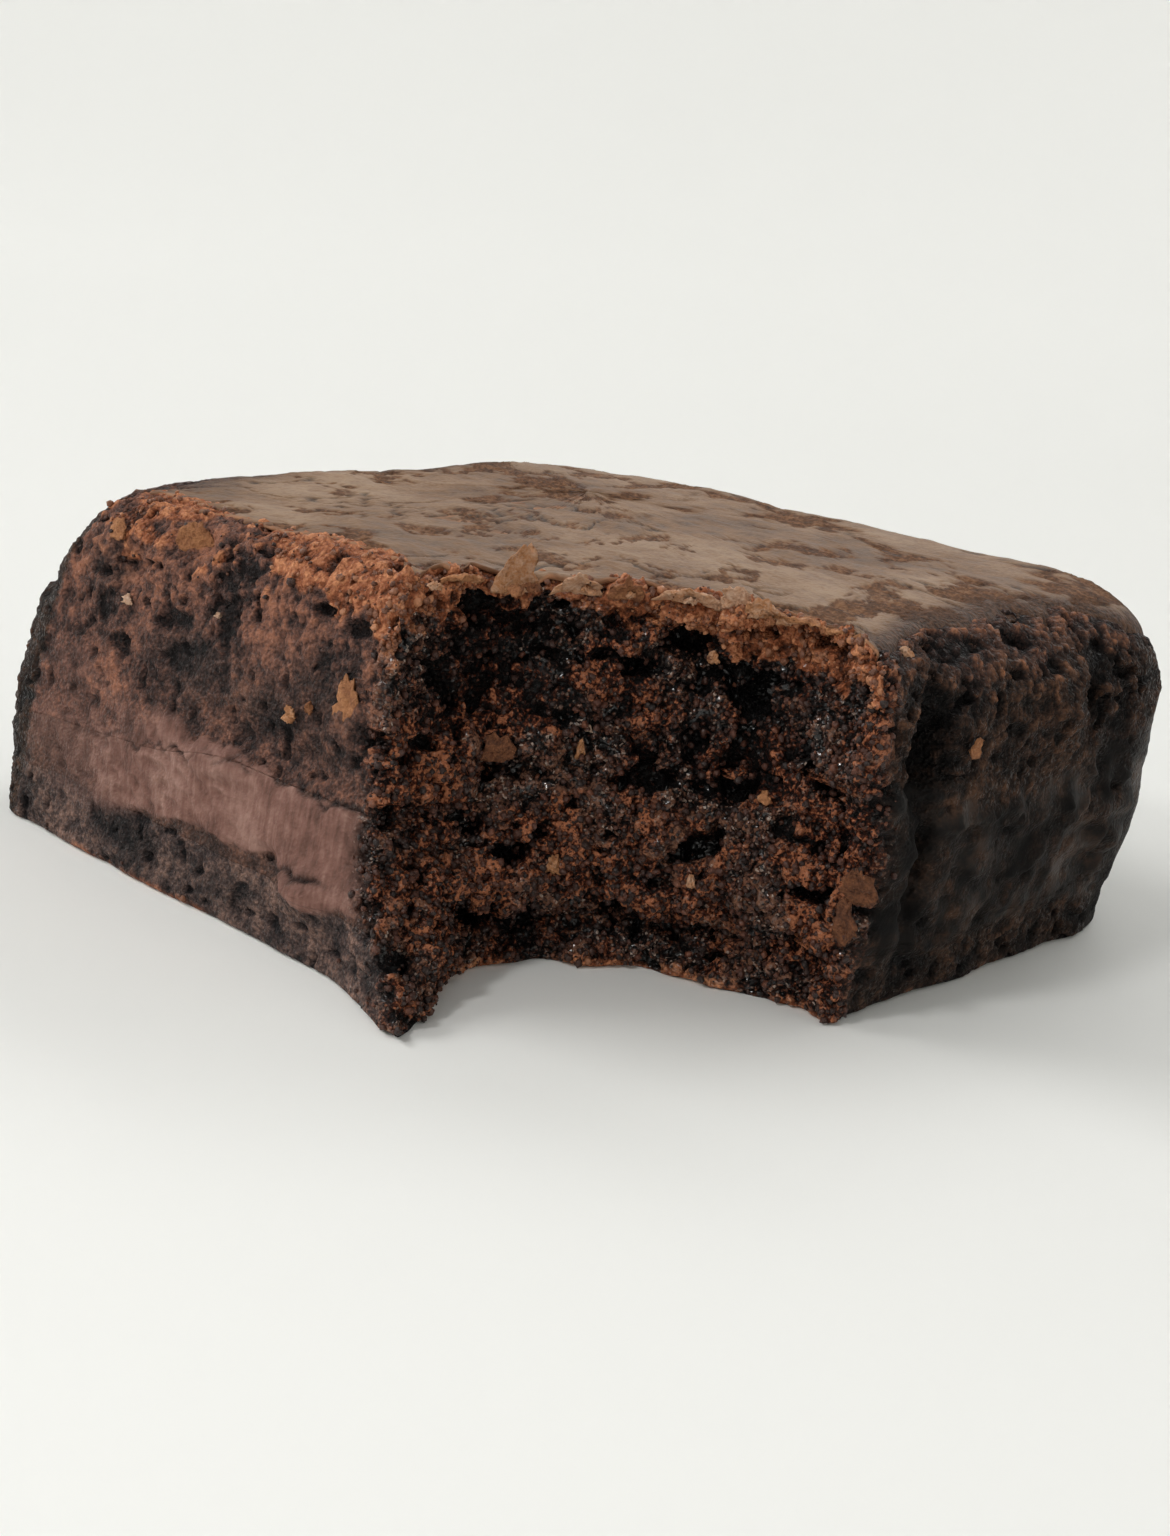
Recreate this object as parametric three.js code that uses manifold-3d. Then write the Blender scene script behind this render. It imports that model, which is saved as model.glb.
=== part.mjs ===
// A thick square of filled chocolate brownie with one corner bitten off.
//
// The real piece is baked as one tray and cut with a knife. From the bottom it is a thin
// cake base, a band of dense fudge and a tall layer of cake under a thin crackled crust.
// The left end sags outwards at its foot, the right side was baked against the tray and
// narrows to its foot, and the bite leaves a craggy hollow with a tooth of crumb at its edge.
//
// Millimetres, +Z up. X runs along the cut front side, the bitten corner is at +X -Y, and
// the origin lies under the middle of the slab, on the surface that it rests on.

import * as THREE from "three";
import { mergeVertices } from "three/addons/utils/BufferGeometryUtils.js";
import Module from "manifold-3d";

// Driving dimensions of the slab.
const SLAB_HEIGHT = 39;
const HALF_LENGTH = 51.4;
const HALF_WIDTH = 44.8;
const CORNER_RADIUS = 12;

// The foot of the slab is a little wider than its top, and lies towards -X and -Y of it.
const FOOT_SPREAD_X = 1;
const FOOT_SPREAD_Y = 2.6;
const FOOT_SHIFT_X = 4.6;
const FOOT_SHIFT_Y = 2.4;

// The layers: the mean heights of the two seams, and the gap kept between the solids.
const BASE_SEAM = 7.3;
const FUDGE_SEAM = 17.6;
const SEAM_GAP = 0.3;
const FUDGE_RISE_RIGHT = 8;
const FUDGE_FALL_LEFT = 4;

// The bite is a round hollow that hardly changes from its foot to its rim.
const BITE_FOOT = { x: 45.2, y: -42.5, radius: 28.4 };
const BITE_RIM = { x: 46, y: -46, radius: 33.4 };

// The middle of the slab's whole outline, which becomes the origin.
const OUTLINE_MIDDLE = { x: -1.79, y: -3.5 };

// How finely each side is divided. The bite and the two sides beside it are the finest.
const SIDE_COLUMNS = {
  front: 26,
  bite: 44,
  right: 20,
  cornerRight: 6,
  back: 18,
  cornerBack: 8,
  left: 16,
  cornerLeft: 8,
};
const TOTAL_COLUMNS = Object.values(SIDE_COLUMNS).reduce((sum, n) => sum + n, 0);

const clamp01 = (x) => Math.min(1, Math.max(0, x));
const mix = (a, b, t) => a + (b - a) * t;
const ease = (t) => clamp01(t) ** 2 * (3 - 2 * clamp01(t));
const bell = (distance, width) => Math.exp(-((distance / width) ** 2));

// Smooth lattice noise from -1 to 1. A lattice corner's value is the broken part of a large sine.
function latticeValue(i, j, k) {
  const s = Math.sin(i * 127.1 + j * 311.7 + k * 74.7) * 43758.5453;
  return s - Math.floor(s);
}

function softNoise(x, y, z) {
  const [i, j, k] = [Math.floor(x), Math.floor(y), Math.floor(z)];
  const [u, v, w] = [ease(x - i), ease(y - j), ease(z - k)];
  const edge = (dj, dk) => mix(latticeValue(i, j + dj, k + dk), latticeValue(i + 1, j + dj, k + dk), u);
  return 2 * mix(mix(edge(0, 0), edge(1, 0), v), mix(edge(0, 1), edge(1, 1), v), w) - 1;
}

// The unevenness of the cake, from -1 to 1, with a coarse and a finer size of lump. On a cut or
// baked side it swells gently. Where the crumb is torn, round clods meet in sharp creases.
const COARSE_LUMP = 8;
const FINE_LUMP = 3.8;

function crumbNoises(p) {
  const coarse = softNoise(p.x / COARSE_LUMP, p.y / COARSE_LUMP, p.z / COARSE_LUMP);
  const fine = softNoise(p.x / FINE_LUMP + 31, p.y / FINE_LUMP + 17, p.z / FINE_LUMP + 5);
  return [coarse, fine];
}

function gentleSwell(p) {
  const [coarse, fine] = crumbNoises(p);
  return 0.6 * coarse + 0.4 * fine;
}

function tornClods(p) {
  const [coarse, fine] = crumbNoises(p);
  return 0.6 * (2.4 * Math.abs(coarse) - 0.9) + 0.4 * (2.4 * Math.abs(fine) - 0.9);
}

// The four sides at one height, as the lines that they lie on.
function sidesAt(z) {
  const down = 1 - z / SLAB_HEIGHT;
  const [x, y] = [-FOOT_SHIFT_X * down, -FOOT_SHIFT_Y * down];
  const [halfX, halfY] = [HALF_LENGTH + FOOT_SPREAD_X * down, HALF_WIDTH + FOOT_SPREAD_Y * down];
  return { left: x - halfX, right: x + halfX, front: y - halfY, back: y + halfY };
}

function biteAt(z) {
  const t = z / SLAB_HEIGHT;
  return {
    x: mix(BITE_FOOT.x, BITE_RIM.x, t),
    y: mix(BITE_FOOT.y, BITE_RIM.y, t),
    radius: mix(BITE_FOOT.radius, BITE_RIM.radius, t),
  };
}

// The outline at one height: lines and arcs, anticlockwise from the front left corner.
function outlineCurves(z) {
  const s = sidesAt(z);
  const c = biteAt(z);
  const r = CORNER_RADIUS;
  const leftAngle = Math.PI + Math.asin((c.y - s.front) / c.radius);
  const rightAngle = Math.acos((s.right - c.x) / c.radius);
  const biteLeft = new THREE.Vector2(c.x + c.radius * Math.cos(leftAngle), s.front);
  const biteRight = new THREE.Vector2(s.right, c.y + c.radius * Math.sin(rightAngle));
  const at = (x, y) => new THREE.Vector2(x, y);
  const quarterTurn = Math.PI / 2;
  const corner = (x, y, n) => new THREE.ArcCurve(x, y, r, n * quarterTurn, (n + 1) * quarterTurn);
  return {
    front: new THREE.LineCurve(at(s.left + r, s.front), biteLeft),
    bite: new THREE.ArcCurve(c.x, c.y, c.radius, leftAngle, rightAngle, true),
    right: new THREE.LineCurve(biteRight, at(s.right, s.back - r)),
    cornerRight: corner(s.right - r, s.back - r, 0),
    back: new THREE.LineCurve(at(s.right - r, s.back), at(s.left + r, s.back)),
    cornerBack: corner(s.left + r, s.back - r, 1),
    left: new THREE.LineCurve(at(s.left, s.back - r), at(s.left, s.front + r)),
    cornerLeft: corner(s.left + r, s.front + r, 2),
  };
}

// Which side a column is on, and how far along it.
function columnPlace(column) {
  let first = 0;
  for (const [side, count] of Object.entries(SIDE_COLUMNS)) {
    if (column < first + count) return { side, along: (column - first) / count };
    first += count;
  }
}

// A bare outline point with the direction that faces out of the cake there, and how far it is
// from the bite's two edges. At both edges a face towards -Y meets one towards +X, and mixing
// the two directions rounds the broken edge.
const EDGE_ROUNDING = 2.6;
const TOWARDS_FRONT = new THREE.Vector2(0, -1);
const TOWARDS_RIGHT = new THREE.Vector2(1, 0);

// In its upper part the right side runs on a little past the bite's arc, as a lip.
const RIGHT_LIP = { reach: -3.8, from: 18, over: 12, biteShare: 0.34 };

function lipShare(side, along) {
  if (side === "bite") return ease((along - 1 + RIGHT_LIP.biteShare) / RIGHT_LIP.biteShare);
  return side === "right" ? 1 - along : 0;
}

function outlinePoint(column, z) {
  const { side, along } = columnPlace(column);
  const curves = outlineCurves(z);
  const point = curves[side].getPoint(along);
  const tangent = curves[side].getTangent(along);
  const lip = RIGHT_LIP.reach * ease((z - RIGHT_LIP.from) / RIGHT_LIP.over);
  point.y += lip * lipShare(side, along);
  const normal = new THREE.Vector2(tangent.y, -tangent.x);
  const leftEdge = curves.bite.getPoint(0);
  const rightEdge = curves.bite.getPoint(1);
  rightEdge.y += lip;
  const fromLeft = point.distanceTo(leftEdge);
  const fromRight = point.distanceTo(rightEdge);
  const other = normal.dot(TOWARDS_FRONT) > normal.dot(TOWARDS_RIGHT) ? TOWARDS_RIGHT : TOWARDS_FRONT;
  const share = (1 - ease(Math.min(fromLeft, fromRight) / EDGE_ROUNDING)) / 2;
  normal.lerp(other, share).normalize();
  return { side, along, point, normal, fromLeft, fromRight };
}

// Seams between the layers. The fudge is thicker to the right and thinner to the left, and both
// seams wave a little, by a height and over a length.
const BASE_WAVE = { high: 0.5, long: 11, slice: 3 };
const FUDGE_WAVE = { high: 0.7, long: 9, slice: 8 };
const RISE_FROM = 14;
const RISE_OVER = 34;
const FALL_FROM = -6;
const FALL_OVER = 28;

function wave({ high, long, slice }, x, y) {
  return high * softNoise(x / long, y / long, slice);
}

function baseSeam(x, y) {
  return BASE_SEAM + wave(BASE_WAVE, x, y);
}

function fudgeSeam(x, y) {
  const rise = FUDGE_RISE_RIGHT * ease((x - RISE_FROM) / RISE_OVER);
  const fall = FUDGE_FALL_LEFT * ease((FALL_FROM - x) / FALL_OVER);
  return FUDGE_SEAM + rise - fall + wave(FUDGE_WAVE, x, y);
}

// Hollows and lumps that show on a side: where they are, their size, and how far they reach.
const FRONT_MARKS = [
  { x: -20.5, z: 37, wide: 3, high: 1.6, reach: -2.2 },
  { x: -30, z: 33, wide: 2.6, high: 3, reach: -1.8 },
  { x: -9, z: 16.6, wide: 4, high: 1.6, reach: 0.9 },
  { x: 6.5, z: 7.6, wide: 3.6, high: 2, reach: 1.6 },
  { x: 0.5, z: 9.8, wide: 2.2, high: 0.9, reach: -0.9 },
  { x: 2, z: 20.5, wide: 14, high: 2.6, reach: -1 },
];
const RIGHT_MARKS = [
  { y: -7.6, z: 28, wide: 2.2, high: 4.6, reach: -4.2 },
  { y: -5.8, z: 15, wide: 1.3, high: 8, reach: -1.8 },
  { y: 2, z: 16, wide: 7, high: 7, reach: 1.1 },
  { y: 17, z: 30.5, wide: 5, high: 4, reach: 1.1 },
  { y: 22, z: 30, wide: 2, high: 2.6, reach: -2.2 },
  { y: 27, z: 17.5, wide: 6, high: 1.7, reach: 1.3 },
  { y: 28, z: 13.4, wide: 6, high: 1.5, reach: 1 },
];
// In the bite a mark's place is its angle round the bite's middle, from the right edge.
const BITE_MARKS = [
  { angle: 160, z: 30, wide: 5.5, high: 4, reach: -4.4 },
  { angle: 152, z: 36, wide: 7, high: 4, reach: -2.6 },
  { angle: 104, z: 37, wide: 5, high: 4, reach: -1.4 },
  { angle: 152, z: 23.6, wide: 3, high: 2, reach: 2 },
  { angle: 157, z: 20.6, wide: 2.6, high: 1.8, reach: -2.4 },
  { angle: 131, z: 24.2, wide: 3, high: 1.4, reach: -2.4 },
  { angle: 114, z: 30.6, wide: 3, high: 1.6, reach: -2.6 },
  { angle: 106, z: 27.2, wide: 2.6, high: 1.6, reach: -2.2 },
  { angle: 96, z: 24.6, wide: 2.4, high: 1.4, reach: -2 },
  { angle: 136, z: 13, wide: 14, high: 3.4, reach: 1 },
  { angle: 106, z: 15, wide: 10, high: 4, reach: 1.2 },
];

function marks(list, distanceTo, z) {
  return list.reduce((sum, m) => sum + m.reach * bell(distanceTo(m), m.wide) * bell(z - m.z, m.high), 0);
}

// Bands that run right round the bite: the hollow under the crust, the fudge that stands out and
// the recess in the base below it. The bite is also deeper in its middle than at its edges.
const UNDER_CRUST = { z: 34, high: 4, reach: -1.4 };
const FUDGE_LIP = { z: 10, high: 2.6, reach: 1.3 };
const BASE_RECESS = { z: 4.6, high: 2, reach: -2.2 };
const MIDDLE_DEPTH = { from: 14, over: 10, reach: -1.4 };
const BITE_FROM_ANGLE = 80;
const BITE_SPAN_ANGLE = 100;

function band({ z: middle, high, reach }, z) {
  return reach * bell(z - middle, high);
}

function biteRelief(point, z) {
  const c = biteAt(z);
  const radians = Math.atan2(point.y - c.y, point.x - c.x);
  const angle = (THREE.MathUtils.radToDeg(radians) + 360) % 360;
  const arcTo = (m) => c.radius * THREE.MathUtils.degToRad(angle - m.angle);
  const middle = Math.sin(Math.PI * clamp01((angle - BITE_FROM_ANGLE) / BITE_SPAN_ANGLE));
  const deeper = MIDDLE_DEPTH.reach * ease((z - MIDDLE_DEPTH.from) / MIDDLE_DEPTH.over);
  const bands = band(UNDER_CRUST, z) + band(FUDGE_LIP, z);
  return bands + middle * (deeper + band(BASE_RECESS, z)) + marks(BITE_MARKS, arcTo, z);
}

// The left end has a torn step at one height, and its foot is tucked under. Both die away round
// its corners.
const STEP_HEIGHT = 27.5;
const STEP_DEPTH = 2.2;
const ABOVE_STEP = -2.8;
const BELOW_STEP = -0.5;
const FOOT_TUCK = { reach: -4.4, high: 9, power: 1.4 };
const BELLY = 0.9;

// How far the real face stands out from the bare outline, before the crumb's own lumps.
function faceRelief(side, along, point, z) {
  if (side === "bite") return biteRelief(point, z);
  const belly = BELLY * Math.sin(Math.PI * clamp01(z / SLAB_HEIGHT));
  const step = mix(ABOVE_STEP, BELOW_STEP, ease((STEP_HEIGHT - z) / STEP_DEPTH));
  const tuck = FOOT_TUCK.reach * clamp01(1 - z / FOOT_TUCK.high) ** FOOT_TUCK.power;
  const leftEnd = step + tuck;
  const reliefs = {
    front: () => marks(FRONT_MARKS, (m) => point.x - m.x, z),
    right: () => marks(RIGHT_MARKS, (m) => point.y - m.y, z),
    left: () => leftEnd,
    cornerLeft: () => leftEnd * (1 - ease(2 * along - 1)),
    cornerBack: () => leftEnd * ease(along),
  };
  return belly + (reliefs[side]?.() ?? 0);
}

// How far the crumb's lumps reach on each side, and at the bite's two broken edges.
const LUMP_REACH = { bite: 1.7, front: 0.6, right: 0.9 };
const OTHER_LUMP_REACH = 0.8;
const EDGE_LUMP_REACH = 0.8;
const EDGE_WIDTH = 3;
const EDGE_RELIEF_SHARE = 0.3;
const FOOT_ROUNDING = 0.6;

// The tooth of crumb that leans out of the bite's left edge at its foot.
const TOOTH = { x: 8.6, y: -3.6, wideInFront: 3.6, wideInBite: 7.5, high: 13, bluntness: 1.5 };

// A point on the cake's side. It is flat on the surface that it stands on, with a rounded foot.
function sidePoint(column, z) {
  const { side, along, point, normal, fromLeft, fromRight } = outlinePoint(column, z);
  const p = new THREE.Vector3(point.x, point.y, z);
  const atEdge = bell(Math.min(fromLeft, fromRight), EDGE_WIDTH);
  const unevenness = side === "bite" ? tornClods(p) : gentleSwell(p);
  const lumps = mix(LUMP_REACH[side] ?? OTHER_LUMP_REACH, EDGE_LUMP_REACH, atEdge) * unevenness;
  const relief = faceRelief(side, along, point, z) * mix(1, EDGE_RELIEF_SHARE, atEdge);
  const foot = -FOOT_ROUNDING * clamp01(1 - z / FOOT_ROUNDING) ** 2;
  p.addScaledVector(new THREE.Vector3(normal.x, normal.y, 0), lumps + relief + foot);
  const toothWide = side === "bite" ? TOOTH.wideInBite : TOOTH.wideInFront;
  const tooth = ease(TOOTH.bluntness * bell(fromLeft, toothWide)) * (1 - ease(z / TOOTH.high));
  p.x += TOOTH.x * tooth;
  p.y += TOOTH.y * tooth;
  return p;
}

// The top is a low dome, highest at the cut front, with the crust's gentle swells.
const DOME = { high: 1.1, halfLength: 60, halfWidth: 52 };
const FRONT_SWELL = { high: 1.3, x: 4, long: 24, y: -38, wide: 13 };
const BROAD_SWELLS = { high: 0.35, long: 13, slice: 21 };
const SMALL_SWELLS = { high: 0.2, long: 5, slice: 4 };

function topHeight(x, y) {
  const dome = DOME.high * (1 - (x / DOME.halfLength) ** 2) * (1 - (y / DOME.halfWidth) ** 2);
  const alongFront = bell(x - FRONT_SWELL.x, FRONT_SWELL.long) * bell(y - FRONT_SWELL.y, FRONT_SWELL.wide);
  const swells = wave(BROAD_SWELLS, x, y) + wave(SMALL_SWELLS, x, y);
  return SLAB_HEIGHT + dome + FRONT_SWELL.high * alongFront + swells;
}

// The rounded shoulder between side and top: how far it runs in towards the slab's middle,
// and how far down.
const SHOULDERS = {
  front: { inwards: 4.5, down: 3.6 },
  bite: { inwards: 1.2, down: 1.2 },
  right: { inwards: 11, down: 10 },
  cornerRight: { inwards: 11, down: 11 },
  back: { inwards: 16, down: 12 },
  cornerBack: { inwards: 28, down: 15 },
  left: { inwards: 15, down: 12 },
  cornerLeft: { inwards: 13, down: 13 },
};
const SHOULDER_MIXING = 5;

// The shoulder at a column, mixed with those of the columns round it.
function shoulderAt(column) {
  const sum = { inwards: 0, down: 0, weight: 0 };
  for (let d = -SHOULDER_MIXING; d <= SHOULDER_MIXING; d++) {
    const { side } = columnPlace((column + d + TOTAL_COLUMNS) % TOTAL_COLUMNS);
    const weight = SHOULDER_MIXING + 1 - Math.abs(d);
    sum.inwards += weight * SHOULDERS[side].inwards;
    sum.down += weight * SHOULDERS[side].down;
    sum.weight += weight;
  }
  return { inwards: sum.inwards / sum.weight, down: sum.down / sum.weight };
}

// The point inside the slab that every ring of the top and of the seams closes on, from which
// the whole rim can be seen, and the point that the shoulders run in towards.
const RING_MIDDLE = { x: -18, y: 13 };
const SHOULDER_MIDDLE = { x: -20, y: 4, besideBite: 28, within: 14 };

const MERGE_DISTANCE = 1e-4;

// A closed solid from one row of points for each column, running from foot to top. It is a
// lathe shape in its layout, with each vertex then moved to its place in the rows.
function ringSolid(pointAt, rows) {
  const onAxis = (row) => row === 0 || row === rows - 1;
  const profile = Array.from({ length: rows }, (_, row) => new THREE.Vector2(onAxis(row) ? 0 : 1, row));
  const geometry = new THREE.LatheGeometry(profile, TOTAL_COLUMNS);
  const position = geometry.getAttribute("position");
  for (let column = 0; column <= TOTAL_COLUMNS; column++) {
    for (let row = 0; row < rows; row++) {
      const p = pointAt(column % TOTAL_COLUMNS, row);
      position.setXYZ(column * rows + row, p.x, p.y, p.z);
    }
  }
  geometry.deleteAttribute("normal");
  geometry.deleteAttribute("uv");
  const merged = mergeVertices(geometry, MERGE_DISTANCE);
  const index = merged.index.array;
  const kept = [];
  for (let i = 0; i < index.length; i += 3) {
    const [a, b, c] = [index[i], index[i + 1], index[i + 2]];
    if (a !== b && b !== c && c !== a) kept.push(a, b, c);
  }
  merged.setIndex(kept);
  return merged;
}

// A seam's height at a column, read on the bare outline half way up the slab, so that the two
// layers that meet there agree on it, and its height at the rings' middle.
function seamAt(seam, column) {
  const { point } = outlinePoint(column, SLAB_HEIGHT / 2);
  return seam(point.x, point.y);
}

function seamMiddle(seam) {
  return new THREE.Vector3(RING_MIDDLE.x, RING_MIDDLE.y, seam(RING_MIDDLE.x, RING_MIDDLE.y));
}

// A layer's column: the middle of its foot, its wall, then the middle of its upper face.
function flatLayer(lowSeam, highSeam, wallRows) {
  return ringSolid((column, row) => {
    if (row === 0) return seamMiddle(lowSeam);
    if (row === wallRows + 1) return seamMiddle(highSeam);
    const share = (row - 1) / (wallRows - 1);
    return sidePoint(column, mix(seamAt(lowSeam, column), seamAt(highSeam, column), share));
  }, wallRows + 2);
}

const CAKE_WALL_ROWS = 12;
const SHOULDER_ROWS = 4;
const TOP_RINGS = 7;

// The upper cake: wall, shoulder, then rings that close over the top.
function upperCake() {
  const low = (x, y) => fudgeSeam(x, y) + SEAM_GAP / 2;
  const lastRow = 1 + CAKE_WALL_ROWS + SHOULDER_ROWS + TOP_RINGS;
  return ringSolid((column, row) => {
    const { x, y } = RING_MIDDLE;
    if (row === 0) return seamMiddle(low);
    if (row === lastRow) return seamMiddle(topHeight);
    const { point, fromRight } = outlinePoint(column, SLAB_HEIGHT);
    const shoulder = shoulderAt(column);
    const wallTop = topHeight(point.x, point.y) - shoulder.down;
    if (row <= CAKE_WALL_ROWS) {
      return sidePoint(column, mix(seamAt(low, column), wallTop, (row - 1) / (CAKE_WALL_ROWS - 1)));
    }
    const turn = (clamp01((row - CAKE_WALL_ROWS) / SHOULDER_ROWS) * Math.PI) / 2;
    const p = sidePoint(column, wallTop + shoulder.down * Math.sin(turn));
    const shoulderX = SHOULDER_MIDDLE.x;
    const shoulderY = SHOULDER_MIDDLE.y + SHOULDER_MIDDLE.besideBite * bell(fromRight, SHOULDER_MIDDLE.within);
    const reach = Math.hypot(shoulderX - p.x, shoulderY - p.y);
    const inwards = (shoulder.inwards * (1 - Math.cos(turn))) / reach;
    const ring = Math.max(0, row - CAKE_WALL_ROWS - SHOULDER_ROWS) / (TOP_RINGS + 1);
    p.x = mix(mix(p.x, shoulderX, inwards), x, ring);
    p.y = mix(mix(p.y, shoulderY, inwards), y, ring);
    p.z = topHeight(p.x, p.y) - shoulder.down * (1 - Math.sin(turn));
    return p;
  }, lastRow + 1);
}

// Broken pieces of crust that stand up from the rim of the bite and lean out over it, as thin
// leaves: the angle round the bite, the length and height, and the lean from upright.
const CRUST_LEAVES = [
  { angle: 165, long: 4.4, high: 2.8, lean: 58 },
  { angle: 156, long: 4.6, high: 4.6, lean: 20 },
  { angle: 143, long: 4.2, high: 3, lean: 52 },
  { angle: 125, long: 6, high: 2.8, lean: 52 },
  { angle: 115, long: 4, high: 2.8, lean: 26 },
  { angle: 106, long: 5.4, high: 2.8, lean: 58 },
];
const LEAF_THICKNESS = 0.8;
const LEAF_ROOT = 2.6;
const LEAF_SET_BACK = 2.4;

function crustLeaf({ angle, long, high, lean }) {
  const outline = new THREE.Shape();
  // The leaf's ragged outline, as shares of its length and height, above a straight root.
  outline.moveTo(-long / 2, -LEAF_ROOT);
  outline.lineTo(long / 2, -LEAF_ROOT);
  outline.lineTo(long * 0.46, high * 0.45);
  outline.lineTo(long * 0.08, high);
  outline.lineTo(-long * 0.3, high * 0.72);
  const leaf = new THREE.ExtrudeGeometry(outline, { depth: LEAF_THICKNESS, bevelEnabled: false });
  leaf.translate(0, 0, -LEAF_THICKNESS / 2);
  leaf.rotateX(THREE.MathUtils.degToRad(90 + lean));
  leaf.rotateZ(THREE.MathUtils.degToRad(angle - 90));
  const c = biteAt(SLAB_HEIGHT);
  const radians = THREE.MathUtils.degToRad(angle);
  const x = c.x + (c.radius + LEAF_SET_BACK) * Math.cos(radians);
  const y = c.y + (c.radius + LEAF_SET_BACK) * Math.sin(radians);
  leaf.translate(x, y, topHeight(x, y) - LEAF_THICKNESS);
  return leaf;
}

// Joining closed meshes into one.
const wasm = await Module();
wasm.setup();

function toSolid(geometry) {
  const bare = geometry.clone();
  bare.deleteAttribute("normal");
  bare.deleteAttribute("uv");
  const merged = mergeVertices(bare, MERGE_DISTANCE);
  return new wasm.Manifold(
    new wasm.Mesh({
      numProp: 3,
      vertProperties: new Float32Array(merged.getAttribute("position").array),
      triVerts: new Uint32Array(merged.index.array),
    }),
  );
}

function toGeometry(solid) {
  const mesh = solid.getMesh();
  const geometry = new THREE.BufferGeometry();
  geometry.setAttribute("position", new THREE.BufferAttribute(new Float32Array(mesh.vertProperties), 3));
  geometry.setIndex(new THREE.BufferAttribute(new Uint32Array(mesh.triVerts), 1));
  return geometry;
}

function withLeaves(cake) {
  const leaves = CRUST_LEAVES.map((leaf) => toSolid(crustLeaf(leaf)));
  return toGeometry(leaves.reduce((sum, leaf) => sum.add(leaf), toSolid(cake)));
}

// The three layers, each with the colour and sheen of its cut face.
const darkCrumb = new THREE.MeshStandardMaterial({ color: 0x2a1a15, roughness: 0.8, metalness: 0 });
const fudge = new THREE.MeshStandardMaterial({ color: 0x4d352c, roughness: 0.45, metalness: 0 });
const crustBrown = new THREE.MeshStandardMaterial({ color: 0x3b281f, roughness: 0.7, metalness: 0 });

const BASE_WALL_ROWS = 5;
const FUDGE_WALL_ROWS = 7;

const baseGeometry = flatLayer(() => 0, (x, y) => baseSeam(x, y) - SEAM_GAP / 2, BASE_WALL_ROWS);
const fudgeGeometry = flatLayer(
  (x, y) => baseSeam(x, y) + SEAM_GAP / 2,
  (x, y) => fudgeSeam(x, y) - SEAM_GAP / 2,
  FUDGE_WALL_ROWS,
);

const brownie = new THREE.Group();
for (const [name, geometry, material] of [
  ["cake_base", baseGeometry, darkCrumb],
  ["fudge_filling", fudgeGeometry, fudge],
  ["cake_top", withLeaves(upperCake()), crustBrown],
]) {
  const layer = new THREE.Mesh(geometry, material);
  layer.name = name;
  brownie.add(layer);
}
brownie.position.set(-OUTLINE_MIDDLE.x, -OUTLINE_MIDDLE.y, 0);

export default brownie;
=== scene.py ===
"""A thick square of filled chocolate brownie with one corner bitten off.

From the bottom it is a thin cake base, a band of dense fudge and a tall layer of cake under a
thin crackled crust. Lengths are worked out in millimetres with the slab's middle as the origin,
and put_in_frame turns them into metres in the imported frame.
"""

from itertools import combinations, product

import bpy
import numpy as np
from mathutils import Matrix


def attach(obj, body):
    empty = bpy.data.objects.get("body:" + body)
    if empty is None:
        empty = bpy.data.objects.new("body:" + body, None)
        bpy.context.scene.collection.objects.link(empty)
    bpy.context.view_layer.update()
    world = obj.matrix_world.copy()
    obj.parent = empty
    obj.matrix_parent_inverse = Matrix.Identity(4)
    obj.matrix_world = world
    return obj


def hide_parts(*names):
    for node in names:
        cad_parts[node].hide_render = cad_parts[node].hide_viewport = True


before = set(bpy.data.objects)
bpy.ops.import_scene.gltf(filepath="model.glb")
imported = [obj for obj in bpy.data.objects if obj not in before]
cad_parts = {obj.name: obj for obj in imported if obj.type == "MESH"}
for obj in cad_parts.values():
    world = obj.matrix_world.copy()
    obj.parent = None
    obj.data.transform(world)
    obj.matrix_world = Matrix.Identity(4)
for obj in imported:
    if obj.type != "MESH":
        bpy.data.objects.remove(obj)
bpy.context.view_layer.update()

# Upper cake
# The tall layer of moist chocolate cake. Its front is cut with a knife, its other sides were
# baked against the tray, and the near corner is bitten off, which tears the crumb into clods.
# The lower layers share its skin: a bare outline, the relief on it, then the crumb's grain.
# Lengths are in millimetres.
slab_height = 39.0
half_length = 51.4
half_width = 44.8
corner_radius = 12.0
foot_spread_x = 1.0
foot_spread_y = 2.6
foot_shift_x = 4.6
foot_shift_y = 2.4
outline_middle = np.array([-1.79, -3.5, 0.0])
# The shoulder leans in towards the line shoulder_x, and the rows over the top close in on the
# point ring_x, ring_y.
shoulder_x = -20.0
ring_x = -18.0
ring_y = 13.0

# For each side: its mesh columns, its stations on the plan, how far the rounded shoulder above it
# runs in and down, and where the crust starts, counted in from the shoulder's inner edge.
sides = {
    "front": (204, 26, 4.5, 3.6, 1.0),
    "bite": (290, 44, 1.2, 1.2, -0.2),
    "right": (130, 20, 11.0, 10.0, -5),
    "corner_right": (22, 6, 11.0, 11.0, -11),
    "back": (80, 18, 16.0, 12.0, -15),
    "corner_back": (24, 8, 28.0, 15.0, -20),
    "left": (66, 16, 15.0, 12.0, -7),
    "corner_left": (28, 8, 13.0, 13.0, -3),
}
column_counts, station_counts, shoulder_in, shoulder_down, crust_in = zip(*sides.values())
side_of = np.repeat(np.arange(len(sides)), column_counts)
share_of = np.concatenate([np.arange(count) / count for count in column_counts])
on = {name: side_of == i for i, name in enumerate(sides)}
first_station = np.cumsum((0, *station_counts))
station_of = first_station[side_of] + share_of * np.array(station_counts)[side_of]


def by_side(others, **own):
    """A value for each column: that of its side where one is named, and the others' elsewhere."""
    return np.select([on[name] for name in own], list(own.values()), others)


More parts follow.
